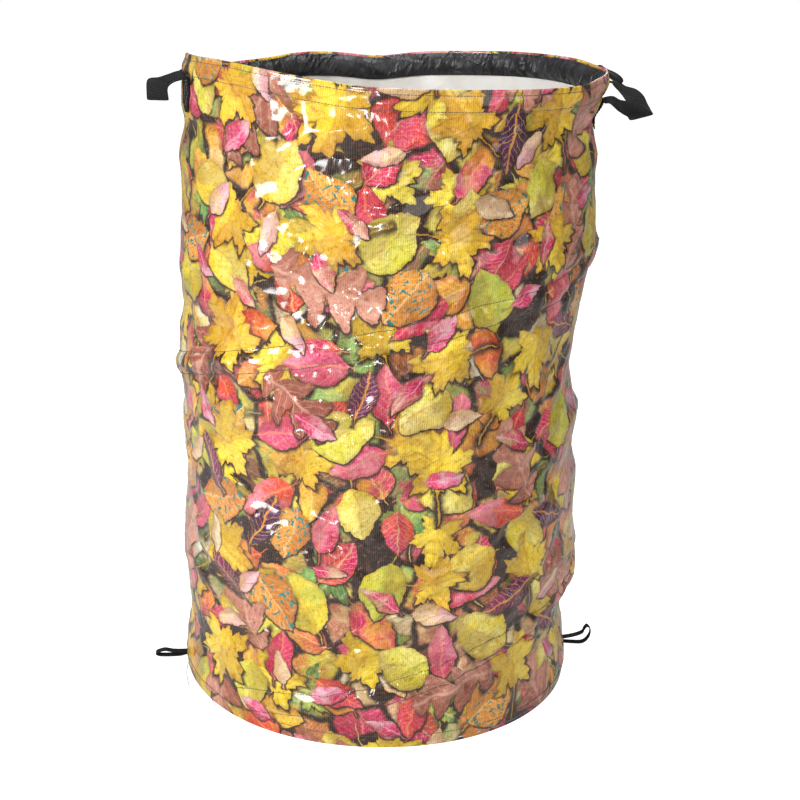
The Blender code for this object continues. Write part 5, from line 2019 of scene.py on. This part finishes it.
@dataclass
class Stitching:
    """All rows of stitching, one piece for each body that carries them."""

    cloth: Cloth
    hem: RimHem
    finishes: Finishes
    handles: Sequence[StrapHandle]

    def build(self) -> list[bpy.types.Object]:
        """Make every row and return the pieces."""
        tree, thread = StitchTree(), self.finishes.thread
        wall = attach(tree.sew("wall_stitches", self._wall_rows(), thread, Seed=3), "base", "black_tape")
        press_flat(wall)
        rim = attach(tree.sew("hem_stitches", self._hem_rows(), thread, Seed=5), "rim", "black_tape")
        return [wall, rim]

    def _wall_rows(self) -> list[np.ndarray]:
        """Return the rows beside the spiral, above the base and down the back seam."""
        cloth, route, sizes = self.cloth, self.cloth.route, self.cloth.sizes
        rows = []
        turns = np.arange(route.first - 8, route.last + 10, 0.5)
        for way in (-1, 1):
            heights = route.heights(turns) + way * sizes.row_spacing / 2
            keep = (heights > sizes.base_row) & (heights < sizes.hem_foot)
            rows.append(cloth.points(turns[keep], heights[keep], 0.0002))
        turns = np.arange(0, 360.5, 0.5)
        rows.append(cloth.points(turns, sizes.base_row, 0.0002))
        heights = np.arange(0.004, sizes.hem_foot, 0.004)
        for way in (-1, 1):
            rows.append(cloth.points(sizes.seam_azimuth + way * 1.1, heights, 0.0015))
        return rows

    def _hem_rows(self) -> list[np.ndarray]:
        """Return the two rows of the hem and the boxes on the ends of the webbing."""
        cloth, sizes = self.cloth, self.cloth.sizes
        turns = np.arange(0, 360.5, 0.5)
        rows = []
        for depth in (self.hem.upper_row, self.hem.lower_row):
            height = sizes.height - depth
            rows.append(cloth.points(turns, height, self.hem.proud(turns, height) + 0.0001))
        for handle in self.handles:
            half = math.degrees(0.0095 / sizes.radius)
            top = handle.end_top + handle.lift - 0.003
            foot = top - 0.024
            box = ((-1, foot), (1, foot), (1, top), (-1, top), (-1, foot), (1, top), (-1, top), (1, foot))
            for leg in (1, -1):
                path = np.array([(handle.leg_azimuth(leg) + side * half, height) for side, height in box])
                fine = np.concatenate([np.linspace(a, b, 12) for a, b in zip(path, path[1:])])
                rows.append(cloth.points(fine[:, 0], fine[:, 1], 0.0026))
        return rows


@dataclass
class LooseThreads:
    """Two loose ends of thread at the base seam."""

    finishes: Finishes
    paths: tuple[tuple[tuple[float, float, float], ...], ...] = (
        ((-0.2265, -0.0260, 0.0060), (-0.2292, -0.0300, 0.0024), (-0.2306, -0.0410, 0.0006),
         (-0.2308, -0.0556, 0.0006), (-0.2292, -0.0724, 0.0006), (-0.2273, -0.0866, 0.0006)),
        ((-0.1985, -0.1075, 0.0050), (-0.2015, -0.1111, 0.0020), (-0.2006, -0.1202, 0.0006),
         (-0.1970, -0.1316, 0.0006)),
    )

    def build(self) -> list[bpy.types.Object]:
        """Make the loose ends and return them."""
        pieces = []
        for index, knots in enumerate(self.paths):
            path = spline_through(knots, 30)
            piece = tube(f"loose_thread_{index + 1}", path, 0.0004, self.finishes.pale_thread, sides=6)
            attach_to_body(piece, "base")
            pieces.append(piece)
        return pieces


@dataclass
class Studio:
    """Camera at the photograph's viewing angle, plain pale floor and soft light."""

    camera_place: tuple[float, float, float] = (-0.2065, -1.5879, 0.8379)
    heading: tuple[float, float] = (0.13917, 0.99027)
    pitch: float = 17.81
    roll: float = 0.0433
    lens: float = 64.737
    air: float = 0.16
    glow: float = 0.04

    def build(self) -> None:
        """Make the camera, floor, lights and surroundings."""
        self._camera()
        self._floor()
        self._lights()

    def _camera(self) -> None:
        """Place the camera."""
        pitch = math.radians(self.pitch)
        east, north = self.heading
        ahead = Vector((east * math.cos(pitch), north * math.cos(pitch), -math.sin(pitch)))
        right = Vector((north, -east, 0.0))
        up = right.cross(ahead)
        turn = Matrix((right, up, -ahead)).transposed().to_4x4()
        data = bpy.data.cameras.new("photo_camera")
        data.lens = self.lens
        data.sensor_width = 36.0
        camera = bpy.data.objects.new("photo_camera", data)
        camera.matrix_world = (
            Matrix.Translation(self.camera_place) @ turn @ Matrix.Rotation(self.roll, 4, "Z")
        )
        bpy.context.scene.collection.objects.link(camera)
        bpy.context.scene.camera = camera

    def _floor(self) -> None:
        """Lay the pale floor and set the pale surroundings."""
        mesh = bpy.data.meshes.new("studio_floor")
        reach = 12.0
        corners = [(-reach, -reach, 0), (reach, -reach, 0), (reach, reach, 0), (-reach, reach, 0)]
        mesh.from_pydata(corners, [], [(0, 1, 2, 3)])
        material = bpy.data.materials.new("studio_white")
        material.use_nodes = True
        shader = material.node_tree.nodes["Principled BSDF"]
        shader.inputs["Base Color"].default_value = (0.60, 0.60, 0.60, 1.0)
        shader.inputs["Roughness"].default_value = 0.9
        shader.inputs["Specular IOR Level"].default_value = 0.1
        shader.inputs["Emission Color"].default_value = (1.0, 1.0, 1.0, 1.0)
        self._bright_to_camera(material.node_tree, shader.inputs["Emission Strength"], self.glow)
        mesh.materials.append(material)
        floor = bpy.data.objects.new("studio_floor", mesh)
        floor.location.z = -0.0004
        bpy.context.scene.collection.objects.link(floor)
        world = bpy.data.worlds.new("studio_air")
        world.use_nodes = True
        back = world.node_tree.nodes["Background"]
        back.inputs["Color"].default_value = (1.0, 1.0, 1.0, 1.0)
        self._bright_to_camera(world.node_tree, back.inputs["Strength"], self.air)
        bpy.context.scene.world = world
        bpy.context.scene.view_settings.view_transform = "Standard"

    def _bright_to_camera(self, tree: bpy.types.NodeTree, socket: Socket, light: float) -> None:
        """Set a strength to 1 where the camera looks and to less for the light that it gives."""
        w = Wiring(tree)
        seen = w.add("ShaderNodeLightPath").outputs["Is Camera Ray"]
        w.plug(socket, w.smooth(seen, 0.0, 1.0, light, 1.0))

    def _lights(self) -> None:
        """Place the lights."""
        for name, place, size, power in (
            ("key_light", (-1.90, -1.15, 1.10), 0.75, 44.0),
            ("glint_light", (-0.95, -1.90, 0.70), 0.22, 6.0),
            ("second_glint_light", (-0.50, -2.15, 0.85), 0.14, 3.0),
            ("fill_light", (1.30, -2.10, 1.50), 1.80, 26.0),
            ("top_light", (0.10, 0.10, 2.40), 1.40, 32.0),
        ):
            data = bpy.data.lights.new(name, "AREA")
            data.size = size
            data.energy = power
            light = bpy.data.objects.new(name, data)
            aim = Vector((0.0, 0.0, 0.35)) - Vector(place)
            light.matrix_world = Matrix.Translation(place) @ aim.to_track_quat("-Z", "Y").to_matrix().to_4x4()
            bpy.context.scene.collection.objects.link(light)


def dress_kept_nodes(frame: dict, finishes: Finishes) -> None:
    """Give the CAD nodes that stay their finish.

    Args:
        finishes: Materials of the bag.
    """
    for name in ("base_hoop_wire", "base_wire_clip"):
        node = frame["nodes"][name]
        node.data.materials.clear()
        node.data.materials.append(finishes.steel)


def main() -> None:
    """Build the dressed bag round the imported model."""
    logging.basicConfig(level=logging.INFO, format="%(name)s: %(message)s")
    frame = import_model()
    Studio().build()
    cloth = Cloth(SIZES, SpiralRoute(), ClothForm())
    finishes = Finishes()
    hem = RimHem(cloth, finishes)
    handles = [
        StrapHandle(cloth, finishes, Side.RIGHT, RIGHT_STRAP, lift=-0.003),
        StrapHandle(cloth, finishes, Side.LEFT, LEFT_STRAP, end_length=0.0345, lift=0.004, turn=1.2),
    ]
    pieces = BagWall(cloth, finishes).build() + hem.build()
    pieces += SpringSpiral(cloth, finishes).build() + BagBase(cloth, finishes).build()
    pieces += [handle.build() for handle in handles]
    pieces += RimToggle(finishes, Side.RIGHT, 30.0, (0.2285, 0.0140, 0.7090)).build()
    pieces += RimToggle(finishes, Side.LEFT, 30.0, (-0.2320, 0.0, 0.6930)).build()
    pieces.append(BaseLoop(finishes, Side.RIGHT, RIGHT_LOOP).build())
    pieces.append(BaseLoop(finishes, Side.LEFT, LEFT_LOOP, shift=-0.0080).build())
    pieces += Stitching(cloth, hem, finishes, handles).build()
    pieces += LooseThreads(finishes).build()
    dress_kept_nodes(frame, finishes)
    for piece in pieces:
        LOG.info("%s: %d faces", piece.name, len(piece.data.polygons))
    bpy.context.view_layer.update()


if __name__ == "__main__":
    main()
